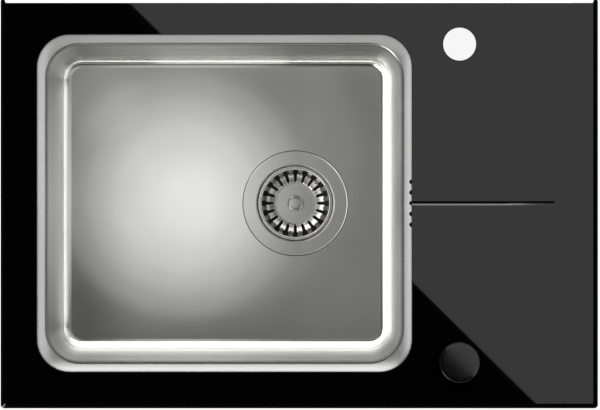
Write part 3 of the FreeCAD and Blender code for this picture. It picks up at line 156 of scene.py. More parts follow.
def satin_stainless():
    # Stainless sheet, pressed and satin brushed: reflections smear along fine parallel scratches
    material, tree = new_material("stainless_sheet_satin_brushed")
    place = add(tree, "ShaderNodeTexCoord").outputs["Object"]
    height = add(tree, "ShaderNodeSeparateXYZ", {0: place}).outputs["Z"]
    # Scratches 0.05 mm wide and 20 mm long, drawn 0.4 mm wide to show
    along = add(tree, "ShaderNodeMapping", {"Vector": place, "Scale": (50.0, 2500.0, 2500.0)})
    scratches = add(tree, "ShaderNodeTexNoise", {
        "Vector": along.outputs[0], "Scale": 1.0, "Detail": 4.0,
    })
    # Clouds some 60 mm across, as brushing by hand leaves them
    clouds = add(tree, "ShaderNodeTexNoise", {"Vector": place, "Scale": 16.0, "Detail": 2.0})
    share = add(tree, "ShaderNodeMapRange", {
        "Value": clouds.outputs[0], "From Min": 0.3, "From Max": 0.7,
    })
    base = add(tree, "ShaderNodeMixRGB", {
        "Fac": share.outputs[0], "Color1": colour("#E0E0DD"), "Color2": colour("#E5E5E2"),
    })
    # Drawing leaves the walls rougher than the floor; painted shade darkens the walls in faint bands up
    # their height, and most just under the mouth
    wall_from, wall_full = BOWL_FLOOR + 0.5, BOWL_FLOOR + 5.0
    drawn = add(tree, "ShaderNodeMapRange", {
        "Value": height, "From Min": wall_from * MM, "From Max": wall_full * MM,
        "To Min": 0.18, "To Max": 0.28,
    })
    mouth = LEDGE_Z - 0.1
    depth = add(tree, "ShaderNodeMapRange", {
        "Value": height, "From Min": BOWL_FLOOR * MM, "From Max": mouth * MM,
    })
    # Painted shade: a ramp over the height of the wall, darker in bands and darkest just under the
    # mouth
    painted_wall_shade = add(tree, "ShaderNodeValToRGB", {"Fac": depth.outputs[0]})
    painted_wall_shade.color_ramp.elements[0].position = 0.45
    painted_wall_shade.color_ramp.elements[0].color = colour("#FFFFFF")
    painted_wall_shade.color_ramp.elements[1].position = 0.999
    painted_wall_shade.color_ramp.elements[1].color = colour("#FFFFFF")
    for share_of_depth, tone in (
        (0.70, "#EEEEEE"), (0.82, "#FFFFFF"), (0.90, "#EEEEEE"), (0.97, "#BEBEBE"), (0.996, "#BEBEBE"),
    ):
        painted_wall_shade.color_ramp.elements.new(share_of_depth).color = colour(tone)
    # The painted shade is multiplied into the steel's colour
    base = add(tree, "ShaderNodeMixRGB", {
        "Fac": 1.0, "Color1": base.outputs[0], "Color2": painted_wall_shade.outputs[0],
    }, blend_type="MULTIPLY")
    grain = add(tree, "ShaderNodeMapRange", {
        "Value": scratches.outputs[0], "To Min": -0.03, "To Max": 0.03,
    })
    rough = add(tree, "ShaderNodeMath", {0: drawn.outputs[0], 1: grain.outputs[0]}, operation="ADD")
    bump = add(tree, "ShaderNodeBump", {
        "Height": scratches.outputs[0], "Strength": 0.02, "Distance": 0.0001,
    })
    shader = add(tree, "ShaderNodeBsdfPrincipled", {
        "Base Color": base.outputs[0], "Metallic": 1.0, "Specular Tint": colour("#E1E1E1"),
        "Roughness": rough.outputs[0], "Normal": bump.outputs[0],
    })
    finish_material(tree, shader)
    return material


def turned_metal(name, light, dark, rough_low, rough_high, centre, matt_and_shaded_below=None):
    # Metal turned on a lathe: faint rings round its axis, brighter and duller in turn
    # Below the given height it is a cup left matt, and painted shade darkens its colour there
    material, tree = new_material(name)
    place = add(tree, "ShaderNodeTexCoord").outputs["Object"]
    centred = add(tree, "ShaderNodeMapping", {
        "Vector": place, "Location": (-centre[0] * MM, -centre[1] * MM, 0.0), "Scale": (1.0, 1.0, 0.0),
    })
    radius = add(tree, "ShaderNodeVectorMath", {0: centred.outputs[0]}, operation="LENGTH")
    # Tool marks 0.1 mm apart, drawn 1.5 mm apart to show
    marks = add(tree, "ShaderNodeTexNoise", {
        "W": radius.outputs["Value"], "Scale": 700.0, "Detail": 3.0,
    }, noise_dimensions="1D")
    base = add(tree, "ShaderNodeMixRGB", {
        "Fac": marks.outputs[0], "Color1": colour(dark), "Color2": colour(light),
    })
    if matt_and_shaded_below:
        # Painted shade: below the given height the colour is mixed towards a dark grey, for the shade
        # inside the cup
        dark_from, dark_full = matt_and_shaded_below - 5.0, matt_and_shaded_below - 8.0
        height = add(tree, "ShaderNodeSeparateXYZ", {0: place}).outputs["Z"]
        painted_cup_shade = add(tree, "ShaderNodeMapRange", {
            "Value": height, "From Min": dark_from * MM, "From Max": dark_full * MM,
        })
        base = add(tree, "ShaderNodeMixRGB", {
            "Fac": painted_cup_shade.outputs[0], "Color1": base.outputs[0], "Color2": colour("#56564F"),
        })
    rough = add(tree, "ShaderNodeMapRange", {
        "Value": marks.outputs[0], "To Min": rough_low, "To Max": rough_high,
    })
    if matt_and_shaded_below:
        matt_from, matt_full = matt_and_shaded_below - 0.4, matt_and_shaded_below - 0.9
        matt = add(tree, "ShaderNodeMapRange", {
            "Value": height, "From Min": matt_from * MM, "From Max": matt_full * MM, "To Max": 0.4,
        })
        rough = add(tree, "ShaderNodeMath", {0: rough.outputs[0], 1: matt.outputs[0]}, operation="ADD")
    bump = add(tree, "ShaderNodeBump", {
        "Height": marks.outputs[0], "Strength": 0.06, "Distance": 0.0001,
    })
    shader = add(tree, "ShaderNodeBsdfPrincipled", {
        "Base Color": base.outputs[0], "Metallic": 1.0,
        "Roughness": rough.outputs[0], "Normal": bump.outputs[0],
    })
    finish_material(tree, shader)
    return material


def zinc_plate():
    # Mild steel, zinc plated and passivated: cool grey with a clouded, slightly yellow bloom
    material, tree = new_material("steel_zinc_plated")
    place = add(tree, "ShaderNodeTexCoord").outputs["Object"]
    # Clouds some 11 mm across
    bloom = add(tree, "ShaderNodeTexNoise", {
        "Vector": place, "Scale": 90.0, "Detail": 5.0, "Roughness": 0.6,
    })
    base = add(tree, "ShaderNodeValToRGB", {"Fac": bloom.outputs[0]})
    base.color_ramp.elements[0].position = 0.35
    base.color_ramp.elements[0].color = colour("#A9ADB2")
    base.color_ramp.elements[1].position = 0.68
    base.color_ramp.elements[1].color = colour("#C6C5BC")
    # Crystals 0.2 mm across, drawn 0.7 mm across to show
    crystals = add(tree, "ShaderNodeTexVoronoi", {"Vector": place, "Scale": 1400.0})
    rough = add(tree, "ShaderNodeMapRange", {
        "Value": bloom.outputs[0], "From Min": 0.3, "From Max": 0.7, "To Min": 0.28, "To Max": 0.46,
    })
    bump = add(tree, "ShaderNodeBump", {
        "Height": crystals.outputs[0], "Strength": 0.08, "Distance": 0.0002,
    })
    shader = add(tree, "ShaderNodeBsdfPrincipled", {
        "Base Color": base.outputs[0], "Metallic": 1.0,
        "Roughness": rough.outputs[0], "Normal": bump.outputs[0],
    })
    finish_material(tree, shader)
    return material


def moulded_plastic(name, dark, light, rough, grain_mm, grain_depth):
    # Injection moulded plastic: an even colour with faint flow shades and a fine eroded grain
    material, tree = new_material(name)
    place = add(tree, "ShaderNodeTexCoord").outputs["Object"]
    # Flow shades some 33 mm across
    flow = add(tree, "ShaderNodeTexNoise", {
        "Vector": place, "Scale": 30.0, "Detail": 2.0, "Distortion": 0.8,
    })
    base = add(tree, "ShaderNodeMixRGB", {
        "Fac": flow.outputs[0], "Color1": colour(dark), "Color2": colour(light),
    })
    grain = add(tree, "ShaderNodeTexNoise", {
        "Vector": place, "Scale": 1.0 / (grain_mm * MM), "Detail": 2.0,
    })
    gloss = add(tree, "ShaderNodeMapRange", {
        "Value": grain.outputs[0], "From Min": 0.3, "From Max": 0.7,
        "To Min": rough - 0.06, "To Max": rough + 0.06,
    })
    bump = add(tree, "ShaderNodeBump", {
        "Height": grain.outputs[0], "Strength": grain_depth, "Distance": 0.0002,
    })
    shader = add(tree, "ShaderNodeBsdfPrincipled", {
        "Base Color": base.outputs[0], "IOR": 1.49,
        "Roughness": gloss.outputs[0], "Normal": bump.outputs[0],
    })
    finish_material(tree, shader)
    return material


def soft_rubber():
    # EPDM rubber, moulded: near black and dull, with a grey dusty bloom
    material, tree = new_material("epdm_rubber_moulded")
    place = add(tree, "ShaderNodeTexCoord").outputs["Object"]
    # Bloom some 7 mm across
    dust = add(tree, "ShaderNodeTexNoise", {"Vector": place, "Scale": 140.0, "Detail": 5.0})
    base = add(tree, "ShaderNodeValToRGB", {"Fac": dust.outputs[0]})
    base.color_ramp.elements[0].position = 0.4
    base.color_ramp.elements[0].color = colour("#131314")
    base.color_ramp.elements[1].position = 0.75
    base.color_ramp.elements[1].color = colour("#2A2A2B")
    bump = add(tree, "ShaderNodeBump", {
        "Height": dust.outputs[0], "Strength": 0.15, "Distance": 0.0002,
    })
    shader = add(tree, "ShaderNodeBsdfPrincipled", {
        "Base Color": base.outputs[0], "Roughness": 0.72, "Normal": bump.outputs[0], "IOR": 1.5,
    })
    finish_material(tree, shader)
    return material


def closed_cell_foam():
    # Polyethylene foam strip: matt grey with closed cells standing out as small pimples
    material, tree = new_material("polyethylene_foam_closed_cell")
    place = add(tree, "ShaderNodeTexCoord").outputs["Object"]
    # Cells 0.5 mm across, drawn 0.9 mm across to show
    cells = add(tree, "ShaderNodeTexVoronoi", {"Vector": place, "Scale": 1100.0})
    base = add(tree, "ShaderNodeValToRGB", {"Fac": cells.outputs[0]})
    base.color_ramp.elements[0].color = colour("#8C8D90")
    base.color_ramp.elements[1].position = 0.8
    base.color_ramp.elements[1].color = colour("#66676A")
    bump = add(tree, "ShaderNodeBump", {
        "Height": cells.outputs[0], "Strength": 0.5, "Distance": 0.0004,
    }, invert=True)
    shader = add(tree, "ShaderNodeBsdfPrincipled", {
        "Base Color": base.outputs[0], "Roughness": 0.9, "Normal": bump.outputs[0],
    })
    finish_material(tree, shader)
    return material


def cured_silicone():
    # Silicone sealant, gunned and cured: black with a soft sheen and a slow ripple along the bead
    material, tree = new_material("silicone_sealant_cured")
    place = add(tree, "ShaderNodeTexCoord").outputs["Object"]
    # Ripples some 8 mm apart
    ripple = add(tree, "ShaderNodeTexNoise", {"Vector": place, "Scale": 120.0, "Detail": 2.0})
    base = add(tree, "ShaderNodeMixRGB", {
        "Fac": ripple.outputs[0], "Color1": colour("#161616"), "Color2": colour("#222223"),
    })
    bump = add(tree, "ShaderNodeBump", {
        "Height": ripple.outputs[0], "Strength": 0.3, "Distance": 0.0005,
    })
    shader = add(tree, "ShaderNodeBsdfPrincipled", {
        "Base Color": base.outputs[0], "Roughness": 0.34, "Normal": bump.outputs[0], "IOR": 1.41,
    })
    finish_material(tree, shader)
    return material


def bitumen_pad():
    # Bitumen sound pad, rolled: dark grey with a pressed lozenge pattern and a mineral sparkle
    material, tree = new_material("bitumen_pad_rolled")
    place = add(tree, "ShaderNodeTexCoord").outputs["Object"]
    # Lozenges 8 mm apart
    half_pitch = 4.0 * MM
    turned = add(tree, "ShaderNodeMapping", {"Vector": place, "Rotation": (0.0, 0.0, math.radians(45))})
    apart = add(tree, "ShaderNodeSeparateXYZ", {0: turned.outputs[0]})
    across = add(tree, "ShaderNodeMath", {0: apart.outputs["X"], 1: half_pitch}, operation="PINGPONG")
    down = add(tree, "ShaderNodeMath", {0: apart.outputs["Y"], 1: half_pitch}, operation="PINGPONG")
    ridge = add(tree, "ShaderNodeMath", {0: across.outputs[0], 1: down.outputs[0]}, operation="MINIMUM")
    line = add(tree, "ShaderNodeMapRange", {
        "Value": ridge.outputs[0], "From Min": 0.0, "From Max": 0.8 * MM,
    })
    # Mineral grains 0.3 mm across, drawn 1.1 mm across to show
    sparkle = add(tree, "ShaderNodeTexNoise", {"Vector": place, "Scale": 900.0, "Detail": 3.0})
    base = add(tree, "ShaderNodeMixRGB", {
        "Fac": sparkle.outputs[0], "Color1": colour("#2B2B2D"), "Color2": colour("#4B4B4F"),
    })
    bump = add(tree, "ShaderNodeBump", {"Height": line.outputs[0], "Strength": 0.6, "Distance": 0.0006})
    shader = add(tree, "ShaderNodeBsdfPrincipled", {
        "Base Color": base.outputs[0], "Roughness": 0.78, "Normal": bump.outputs[0],
    })
    finish_material(tree, shader)
    return material


FINISHES = {
    "black_glass": back_painted_glass(),
    "bowl_steel": satin_stainless(),
    "waste_steel": turned_metal(
        "stainless_pressed_and_turned", light="#E4E4E1", dark="#D6D6D2",
        rough_low=0.20, rough_high=0.30, centre=WASTE,
    ),
    "zinc_steel": zinc_plate(),
    "black_plastic": moulded_plastic(
        "polypropylene_black_moulded", dark="#101011", light="#18181A",
        rough=0.46, grain_mm=0.8, grain_depth=0.25,
    ),
    "white_plastic": moulded_plastic(
        "acetal_white_moulded", dark="#DEDDD7", light="#E9E8E3",
        rough=0.36, grain_mm=0.6, grain_depth=0.08,
    ),
    "grey_plastic": moulded_plastic(
        "polypropylene_grey_moulded", dark="#75777A", light="#84868A",
        rough=0.44, grain_mm=0.8, grain_depth=0.2,
    ),
    "knob_black": moulded_plastic(
        "abs_black_gloss_moulded", dark="#060607", light="#09090A",
        rough=0.16, grain_mm=1.2, grain_depth=0.01,
    ),
    "black_rubber": soft_rubber(),
    "grey_foam": closed_cell_foam(),
    "bond": cured_silicone(),
    "sound_pad": bitumen_pad(),
    "brass": turned_metal(
        "brass_turned", light="#D9B96F", dark="#BE9A50", rough_low=0.20, rough_high=0.34, centre=KNOB,
    ),
}

# Turned steel whose cup below the bowl floor is matt and darkened with painted shade
CUP_STEEL_WITH_PAINTED_SHADE = turned_metal(
    "stainless_turned_with_matt_painted_shade_cup", light="#E4E4E1", dark="#D6D6D2",
    rough_low=0.20, rough_high=0.30, centre=WASTE, matt_and_shaded_below=BOWL_FLOOR,
)

for node_name, slot_name in SLOT_OF.items():
    frame["nodes"][node_name].data.materials.clear()
    frame["nodes"][node_name].data.materials.append(FINISHES[slot_name])


# Modelling

def edit_all(piece):
    bpy.ops.object.select_all(action="DESELECT")
    piece.select_set(True)
    bpy.context.view_layer.objects.active = piece
    bpy.ops.object.mode_set(mode="EDIT")
    bpy.ops.mesh.select_all(action="SELECT")


def apply_modifier(piece, kind, **settings):
    bpy.context.view_layer.objects.active = piece
    modifier = piece.modifiers.new(kind.lower(), kind)
    for name, value in settings.items():
        setattr(modifier, name, value)
    bpy.ops.object.modifier_apply(modifier=modifier.name)


def settle(piece, node_name, smooth):
    # Place into the mesh, smooth shading up to an angle, finish, and the body that carries it
    bpy.ops.object.select_all(action="DESELECT")
    piece.select_set(True)
    bpy.context.view_layer.objects.active = piece
    bpy.ops.object.transform_apply(location=True, rotation=True, scale=True)
    bpy.ops.object.shade_smooth_by_angle(angle=math.radians(smooth))
    slot_name = SLOT_OF[node_name]
    piece.data.materials.clear()
    piece.data.materials.append(FINISHES[slot_name])
    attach(piece, BODY_OF[node_name])
    piece.select_set(False)


def drawn_rings(name, centre, stations, segments):
    # A ring pulled from one radius and height to the next, as on a spinning lathe
    first_radius, first_height = stations[0]
    bpy.ops.object.select_all(action="DESELECT")
    bpy.ops.mesh.primitive_circle_add(
        vertices=segments, radius=first_radius * MM,
        location=(centre[0] * MM, centre[1] * MM, first_height * MM),
    )
    piece = bpy.context.object
    piece.name = name
    edit_all(piece)
    for (radius, height), (next_radius, next_height) in zip(stations, stations[1:]):
        rise = (0.0, 0.0, (next_height - height) * MM)
        bpy.ops.mesh.extrude_edges_move(TRANSFORM_OT_translate={"value": rise})
        scale = next_radius / radius
        middle = (centre[0] * MM, centre[1] * MM, next_height * MM)
        bpy.ops.transform.resize(value=(scale, scale, 1.0), center_override=middle)
    return piece


def close_ends():
    bpy.ops.mesh.select_all(action="SELECT")
    bpy.ops.mesh.region_to_loop()
    bpy.ops.mesh.edge_face_add()
    bpy.ops.mesh.select_all(action="SELECT")
    bpy.ops.mesh.normals_make_consistent(inside=False)
    bpy.ops.object.mode_set(mode="OBJECT")


def strainer_basket():
    # Pressed strainer: flat disc, shallow slotted skirt, steep wall and a turned rim
    slots = 20
    steps = 12
    skirt_start, skirt_end, wall_end = 23.5, 31.0, 35.7
    skirt_half_slot, wall_half_slot = 2.0, 3.0
    sheet = 0.8
    disc, rim = BASKET_DISC, BASKET_RIM
    # Radius and height
    stations = [
        (3.05, disc), (9.0, disc), (16.0, disc), (21.6, disc), (22.6, disc + 0.12),
        (skirt_start, disc + 0.55), (25.2, disc + 1.75), (27.6, disc + 3.35), (29.8, disc + 4.8),
        (31.2, disc + 5.9), (32.1, disc + 7.3), (32.9, disc + 9.8), (33.9, disc + 13.0),
        (34.9, disc + 16.2), (wall_end, disc + 18.6), (36.7, rim - 0.6), (37.2, rim - 0.1),
        (37.9, rim), (39.3, rim), (39.65, rim - 0.1), (39.75, rim - 0.5), (39.75, rim - 1.5),
    ]
    basket = drawn_rings("strainer_basket", WASTE, stations, segments=slots * steps)
    bpy.ops.mesh.select_all(action="SELECT")
    bpy.ops.mesh.normals_make_consistent(inside=False)
    bpy.ops.mesh.select_all(action="DESELECT")
    bpy.ops.object.mode_set(mode="OBJECT")
    # Slots: narrow through the skirt and wide in the steep wall
    pitch = 2 * math.pi / slots
    for face in basket.data.polygons:
        spot = basket.matrix_world @ face.center
        x, y = spot.x / MM - WASTE[0], spot.y / MM - WASTE[1]
        radius = math.hypot(x, y)
        off_slot = abs((math.atan2(y, x) + pitch / 2) % pitch - pitch / 2)
        half_slot = skirt_half_slot if radius < skirt_end else wall_half_slot
        face.select = skirt_start < radius < wall_end and off_slot < half_slot * pitch / steps
    bpy.ops.object.mode_set(mode="EDIT")
    bpy.ops.mesh.delete(type="FACE")
    bpy.ops.object.mode_set(mode="OBJECT")
    upward = sum(face.normal.z for face in basket.data.polygons) > 0
    apply_modifier(basket, "SOLIDIFY", thickness=sheet * MM, offset=-1.0 if upward else 1.0)
    apply_modifier(basket, "SUBSURF", levels=1, render_levels=1)
    settle(basket, "basket_shell", smooth=60.0)
    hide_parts("basket_shell")
    return basket


def basket_knob():
    # Button in the middle of the strainer, turned with a soft crown
    disc = BASKET_DISC
    stem_end = -206.2
    # Radius and height
    stations = [
        (3.0, stem_end), (3.0, disc), (4.5, disc), (4.5, disc + 6.6), (4.9, disc + 7.0),
        (7.5, disc + 7.0), (8.2, disc + 7.4), (8.4, disc + 8.1), (8.4, disc + 10.2),
        (8.25, disc + 10.9), (7.8, disc + 11.4), (7.1, disc + 11.7), (5.0, disc + 11.9),
        (2.5, disc + 11.98), (0.6, disc + 12.0),
    ]
    button = drawn_rings("strainer_button", WASTE, stations, segments=64)
    close_ends()
    settle(button, "basket_button", smooth=40.0)
    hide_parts("basket_button")
    return button


def control_disc():
    # Moulded control disc: a hollow cap with a soft edge and a faintly crowned top, on a hub
    skirt_end, hub_end, roof, top = 10.1, 13.1, 20.6, 23.1
    # Radius and height
    stations = [
        (4.5, roof), (4.5, hub_end), (8.0, hub_end), (8.0, roof), (19.7, roof), (19.7, skirt_end),
        (21.2, skirt_end), (21.5, 10.4), (21.5, 21.3), (21.35, 22.1), (20.9, 22.65), (20.2, 22.9),
        (17.0, 23.0), (10.0, 23.07), (4.0, top), (0.6, top),
    ]
    disc = drawn_rings("control_disc", KNOB, stations, segments=128)
    close_ends()
    settle(disc, "control_knob", smooth=40.0)
    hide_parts("control_knob")
    return disc


def thread(name, centre, root, crest, pitch, levels):
    # One tooth of the thread, screwed up its axis and cut off square at both ends
    steps = 32
    crest_share = 0.25
    bottom, top = levels
    turns = math.ceil((top - bottom) / pitch) + 2
    bpy.ops.object.select_all(action="DESELECT")
    bpy.ops.mesh.primitive_plane_add(
        size=pitch * MM, rotation=(math.pi / 2, 0.0, 0.0),
        location=(centre[0] * MM, centre[1] * MM, (bottom - pitch) * MM),
    )
    piece = bpy.context.object
    piece.name = name
    bpy.ops.object.transform_apply(location=False, rotation=True, scale=True)
    edit_all(piece)
    bpy.ops.mesh.delete(type="ONLY_FACE")
    bpy.ops.object.mode_set(mode="OBJECT")
    inner_edge = [edge for edge in piece.data.edges
                  if all(piece.data.vertices[index].co.x < 0 for index in edge.vertices)]
    for edge in piece.data.edges:
        edge.select = edge in inner_edge
    for vertex in piece.data.vertices:
        vertex.select = vertex.co.x < 0
    bpy.ops.object.mode_set(mode="EDIT")
    bpy.ops.mesh.select_mode(type="EDGE")
    bpy.ops.mesh.delete(type="EDGE_FACE")
    bpy.ops.mesh.select_mode(type="VERT")
    bpy.ops.object.mode_set(mode="OBJECT")
    for vertex in piece.data.vertices:
        outer = vertex.co.x > 0
        vertex.co.x = (crest if outer else root) * MM
        vertex.co.z *= crest_share if outer else 1.0
    apply_modifier(
        piece, "SCREW", axis="Z", screw_offset=pitch * MM, iterations=turns,
        steps=steps, render_steps=steps, use_merge_vertices=True, merge_threshold=THREAD_MERGE,
    )
    edit_all(piece)
    bpy.ops.mesh.remove_doubles(threshold=THREAD_MERGE)
    for height, above in ((bottom, False), (top, True)):
        bpy.ops.mesh.select_all(action="SELECT")
        bpy.ops.mesh.bisect(
            plane_co=(centre[0] * MM, centre[1] * MM, height * MM), plane_no=(0.0, 0.0, 1.0),
            use_fill=True, clear_outer=above, clear_inner=not above,
        )
    bpy.ops.mesh.select_all(action="SELECT")
    bpy.ops.mesh.normals_make_consistent(inside=False)
    bpy.ops.object.mode_set(mode="OBJECT")
    return piece


def copies_at(piece, name, moves):
    made = []
    for index, move in enumerate(moves):
        copy = bpy.data.objects.new(f"{name}_{index + 1}", piece.data.copy())
        bpy.context.scene.collection.objects.link(copy)
        copy.location = (move[0] * MM, move[1] * MM, 0.0)
        made.append(copy)
    return made


def clamp_threads():
    # Four M6 studs
    first = thread("clamp_stud", STUDS[0], root=2.5, crest=3.0, pitch=1.0, levels=STUD_LEVELS)
    bpy.ops.object.select_all(action="DESELECT")
    first.select_set(True)
    bpy.ops.object.transform_apply(location=True, rotation=True, scale=True)
    moves = [(x - STUDS[0][0], y - STUDS[0][1]) for x, y in STUDS[1:]]
    for stud in [first] + copies_at(first, "clamp_stud", moves):
        settle(stud, "clamp_studs", smooth=25.0)
        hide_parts("clamp_studs")


def outlet_thread():
    # Pipe thread round the outlet of the waste body
    piece = thread("outlet_thread", WASTE, root=23.6, crest=24.5, pitch=2.3, levels=OUTLET_LEVELS)
    settle(piece, "waste_body", smooth=25.0)


def softened(node_name, width):
    # The solid with its sharp edges rounded over, as moulding, pressing or casting leaves them
    piece = bpy.data.objects.new(f"{node_name}_finished", frame["nodes"][node_name].data.copy())
    bpy.context.scene.collection.objects.link(piece)
    edit_all(piece)
    bpy.ops.mesh.customdata_custom_splitnormals_clear()
    bpy.ops.mesh.remove_doubles(threshold=COPY_MERGE)
    bpy.ops.mesh.dissolve_limited(angle_limit=math.radians(0.4))
    bpy.ops.object.mode_set(mode="OBJECT")
    apply_modifier(
        piece, "BEVEL", width=width * MM, segments=2, limit_method="ANGLE",
        angle_limit=math.radians(40), miter_outer="MITER_ARC", use_clamp_overlap=True,
    )
    settle(piece, node_name, smooth=30.0)
    apply_modifier(piece, "WEIGHTED_NORMAL", mode="FACE_AREA", weight=80, keep_sharp=True)
    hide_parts(node_name)
    return piece


# Width of the rounding, in millimetres
EDGE_ROUNDING = {
    "rail_front": 0.5, "rail_back": 0.5, "rail_left": 0.5, "rail_right": 0.5,
    "waste_flange": 0.3, "waste_body": 0.7, "waste_gasket": 0.6, "waste_screws": 0.4,
    "plug_seal": 0.6, "plug_plate": 0.3, "sound_pad": 0.8,
    "overflow_collector": 0.8, "overflow_nuts": 0.4, "overflow_pipe": 0.5, "overflow_studs": 0.3,
    "drive_housing": 0.8, "drive_cover": 0.6, "cover_screws": 0.4, "bush_nut": 0.6, "bush_washer": 0.5,
    "lever_crank": 0.4, "lever_finger": 0.5, "lever_rod": 0.3, "cable_ferrules": 0.5, "lift_pin": 0.6,
}
for corner in ("front_left", "front_right", "back_left", "back_right"):
    EDGE_ROUNDING[f"clamp_strap_{corner}"] = 0.5
    EDGE_ROUNDING[f"clamp_nut_{corner}"] = 0.5

bpy.ops.object.select_all(action="DESELECT")
basket = strainer_basket()
button = basket_knob()
disc = control_disc()
clamp_threads()
outlet_thread()
rounded = {node_name: softened(node_name, width) for node_name, width in EDGE_ROUNDING.items()}
# The flange takes the steel with painted shade in its cup
rounded["waste_flange"].data.materials[0] = CUP_STEEL_WITH_PAINTED_SHADE


# Stage: places and sizes in metres, angles in degrees, and a radiance of 1 mirrored whole is white

# Strength of the sky for the light that it casts on matt faces
SKY_FILL = 0.5

# Where the mirrored edge of the window crosses the picture, in pixels, and how it is turned
WINDOW_PIXEL = (413.7, 283.0)
DISC_WINDOW_PIXEL = (459.6, 362.4)
WINDOW_TURN = -44.6
WINDOW_LENGTH = 3.0

# Strip close behind the back bevel
BEVEL_AWAY = Vector((0.0, 0.8, 0.6)) * 0.2
BEVEL_SPREAD = 40.0

# Strips behind the drain groove: elevation, height, radiance
GROOVE_X = 0.19
GROOVE_AWAY = 1.6
GROOVE_STRIP_LENGTH = 0.26
GROOVE_STRIPS = ((22.0, 0.308, 4.8), (33.0, 0.308, 3.6), (44.5, 0.336, 2.2), (59.0, 0.478, 1.3))

# Soft boxes that face the floor of the bowl: name, place, size, radiance
BOWL_BOXES = (
    ("box_over_bowl", (0.07, 0.015, 0.6), (0.56, 0.37), 0.21),
    ("fill_left", (-0.235, 0.0, 0.3), (0.15, 0.40), 0.045),
)

# Gridded discs over the bowl: centre and radius in pixels, radiance
HOT_SPOT_DISCS = (
    ((195.0, 155.0), 165.0, 0.061), ((178.0, 194.0), 126.0, 0.198), ((180.0, 195.0), 100.0, 0.209),
    ((181.0, 196.0), 76.0, 0.198), ((183.0, 198.0), 48.0, 0.132), ((186.0, 200.0), 31.0, 0.110),
    ((90.0, 92.0), 46.0, 0.088), ((90.0, 92.0), 30.0, 0.077),
)
HOT_SPOT_HEIGHT = 0.04
HOT_SPOT_STEP = 0.004
HOT_SPOT_SPREAD = 90.0

# Strips above the ledge: side, middle, size, radiance
LEDGE_STRIP_HEIGHT = 0.045
LEDGE_STRIPS = (
    ("left", (-0.287, 0.0), (0.04, 0.40), 0.66), ("right", (0.135, 0.0), (0.04, 0.40), 0.92),
    ("back", (-0.0795, 0.180), (0.44, 0.04), 0.36), ("front", (-0.0795, -0.193), (0.44, 0.04), 1.45),
)

# Gridded strips that face the foot of a wall: side, foot, way into the bowl, level, size, radiance
FOOT_STRIP_AWAY = 0.08
FOOT_STRIP_SLANT = 25.0
FOOT_STRIP_SPREAD = 100.0
FOOT_STRIPS = (
    ("left", (-0.2505, 0.0), (1, 0), -0.130, (0.26, 0.085), 0.95),
    ("right", (0.0915, 0.0), (-1, 0), -0.1425, (0.34, 0.064), 4.8),
    ("back", (-0.085, 0.151), (0, -1), -0.145, (0.14, 0.06), 0.5),
    ("front", (-0.0795, -0.151), (0, 1), -0.132, (0.38, 0.085), 3.9),
)

# Low lamps round the strainer: bearing, radiance
STRAINER_LEVEL = -0.199
STRAINER_LAMP_AWAY = 0.15
STRAINER_LAMP_RISE = 24.0
STRAINER_LAMP_SIZE = (0.13, 0.10)
STRAINER_LAMPS = ((80, 1.5), (125, 2.4), (170, 2.2), (205, 0.8), (270, 0.25), (350, 0.3))


def studio_floor():
    # Pale paper that the camera and mirrors see as a white sweep, with the object's shadow on it
    glow_share = 0.88
    bpy.ops.mesh.primitive_plane_add(size=60.0, location=(0, 0, FLOOR_LEVEL))
    floor = bpy.context.object
    floor.name = "studio_floor"
    material, tree = new_material("studio_floor_paper")
    rays = add(tree, "ShaderNodeLightPath")
    seen = add(tree, "ShaderNodeMath", {
        0: rays.outputs["Is Camera Ray"], 1: rays.outputs["Is Glossy Ray"],
    }, operation="MAXIMUM")
    seen = add(tree, "ShaderNodeMath", {
        0: seen.outputs[0], 1: rays.outputs["Is Transmission Ray"],
    }, operation="MAXIMUM")
    share = add(tree, "ShaderNodeMath", {0: seen.outputs[0], 1: glow_share}, operation="MULTIPLY")
    paper = add(tree, "ShaderNodeBsdfDiffuse", {"Color": colour("#F4F4F3")})
    glow = add(tree, "ShaderNodeEmission", {"Color": colour("#FFFFFF"), "Strength": 1.0})
    mixed = add(tree, "ShaderNodeMixShader", {
        0: share.outputs[0], 1: paper.outputs[0], 2: glow.outputs[0],
    })
    finish_material(tree, mixed)
    floor.data.materials.append(material)


def studio_sky():
    # Dark overhead and pale low down, so that the black glass stays black from above
    world = bpy.data.worlds.new("studio")
    bpy.context.scene.world = world
    world.use_nodes = True
    tree = world.node_tree
    tree.nodes.clear()
    direction = add(tree, "ShaderNodeTexCoord").outputs["Generated"]
    height = add(tree, "ShaderNodeSeparateXYZ", {0: direction}).outputs["Z"]
    dome = add(tree, "ShaderNodeMapRange", {
        "Value": height, "From Min": 0.36, "From Max": 0.10, "To Min": 0.0, "To Max": 0.6,
    }, interpolation_type="SMOOTHSTEP")
    rays = add(tree, "ShaderNodeLightPath")
    glossy = add(tree, "ShaderNodeMix", {
        "Factor": rays.outputs["Is Glossy Ray"], "A": SKY_FILL, "B": dome.outputs[0],
    }, data_type="FLOAT")
    seen = add(tree, "ShaderNodeMath", {
        0: rays.outputs["Is Camera Ray"], 1: rays.outputs["Is Transmission Ray"],
    }, operation="MAXIMUM")
    strength = add(tree, "ShaderNodeMix", {
        "Factor": seen.outputs[0], "A": glossy.outputs[0], "B": 1.0,
    }, data_type="FLOAT")
    sky = add(tree, "ShaderNodeBackground", {
        "Color": colour("#FFFFFF"), "Strength": strength.outputs[0],
    })
    add(tree, "ShaderNodeOutputWorld", {"Surface": sky.outputs[0]})


def lit_group(name, pieces):
    group = bpy.data.collections.new(name)
    for piece in pieces:
        group.objects.link(piece)
    return group


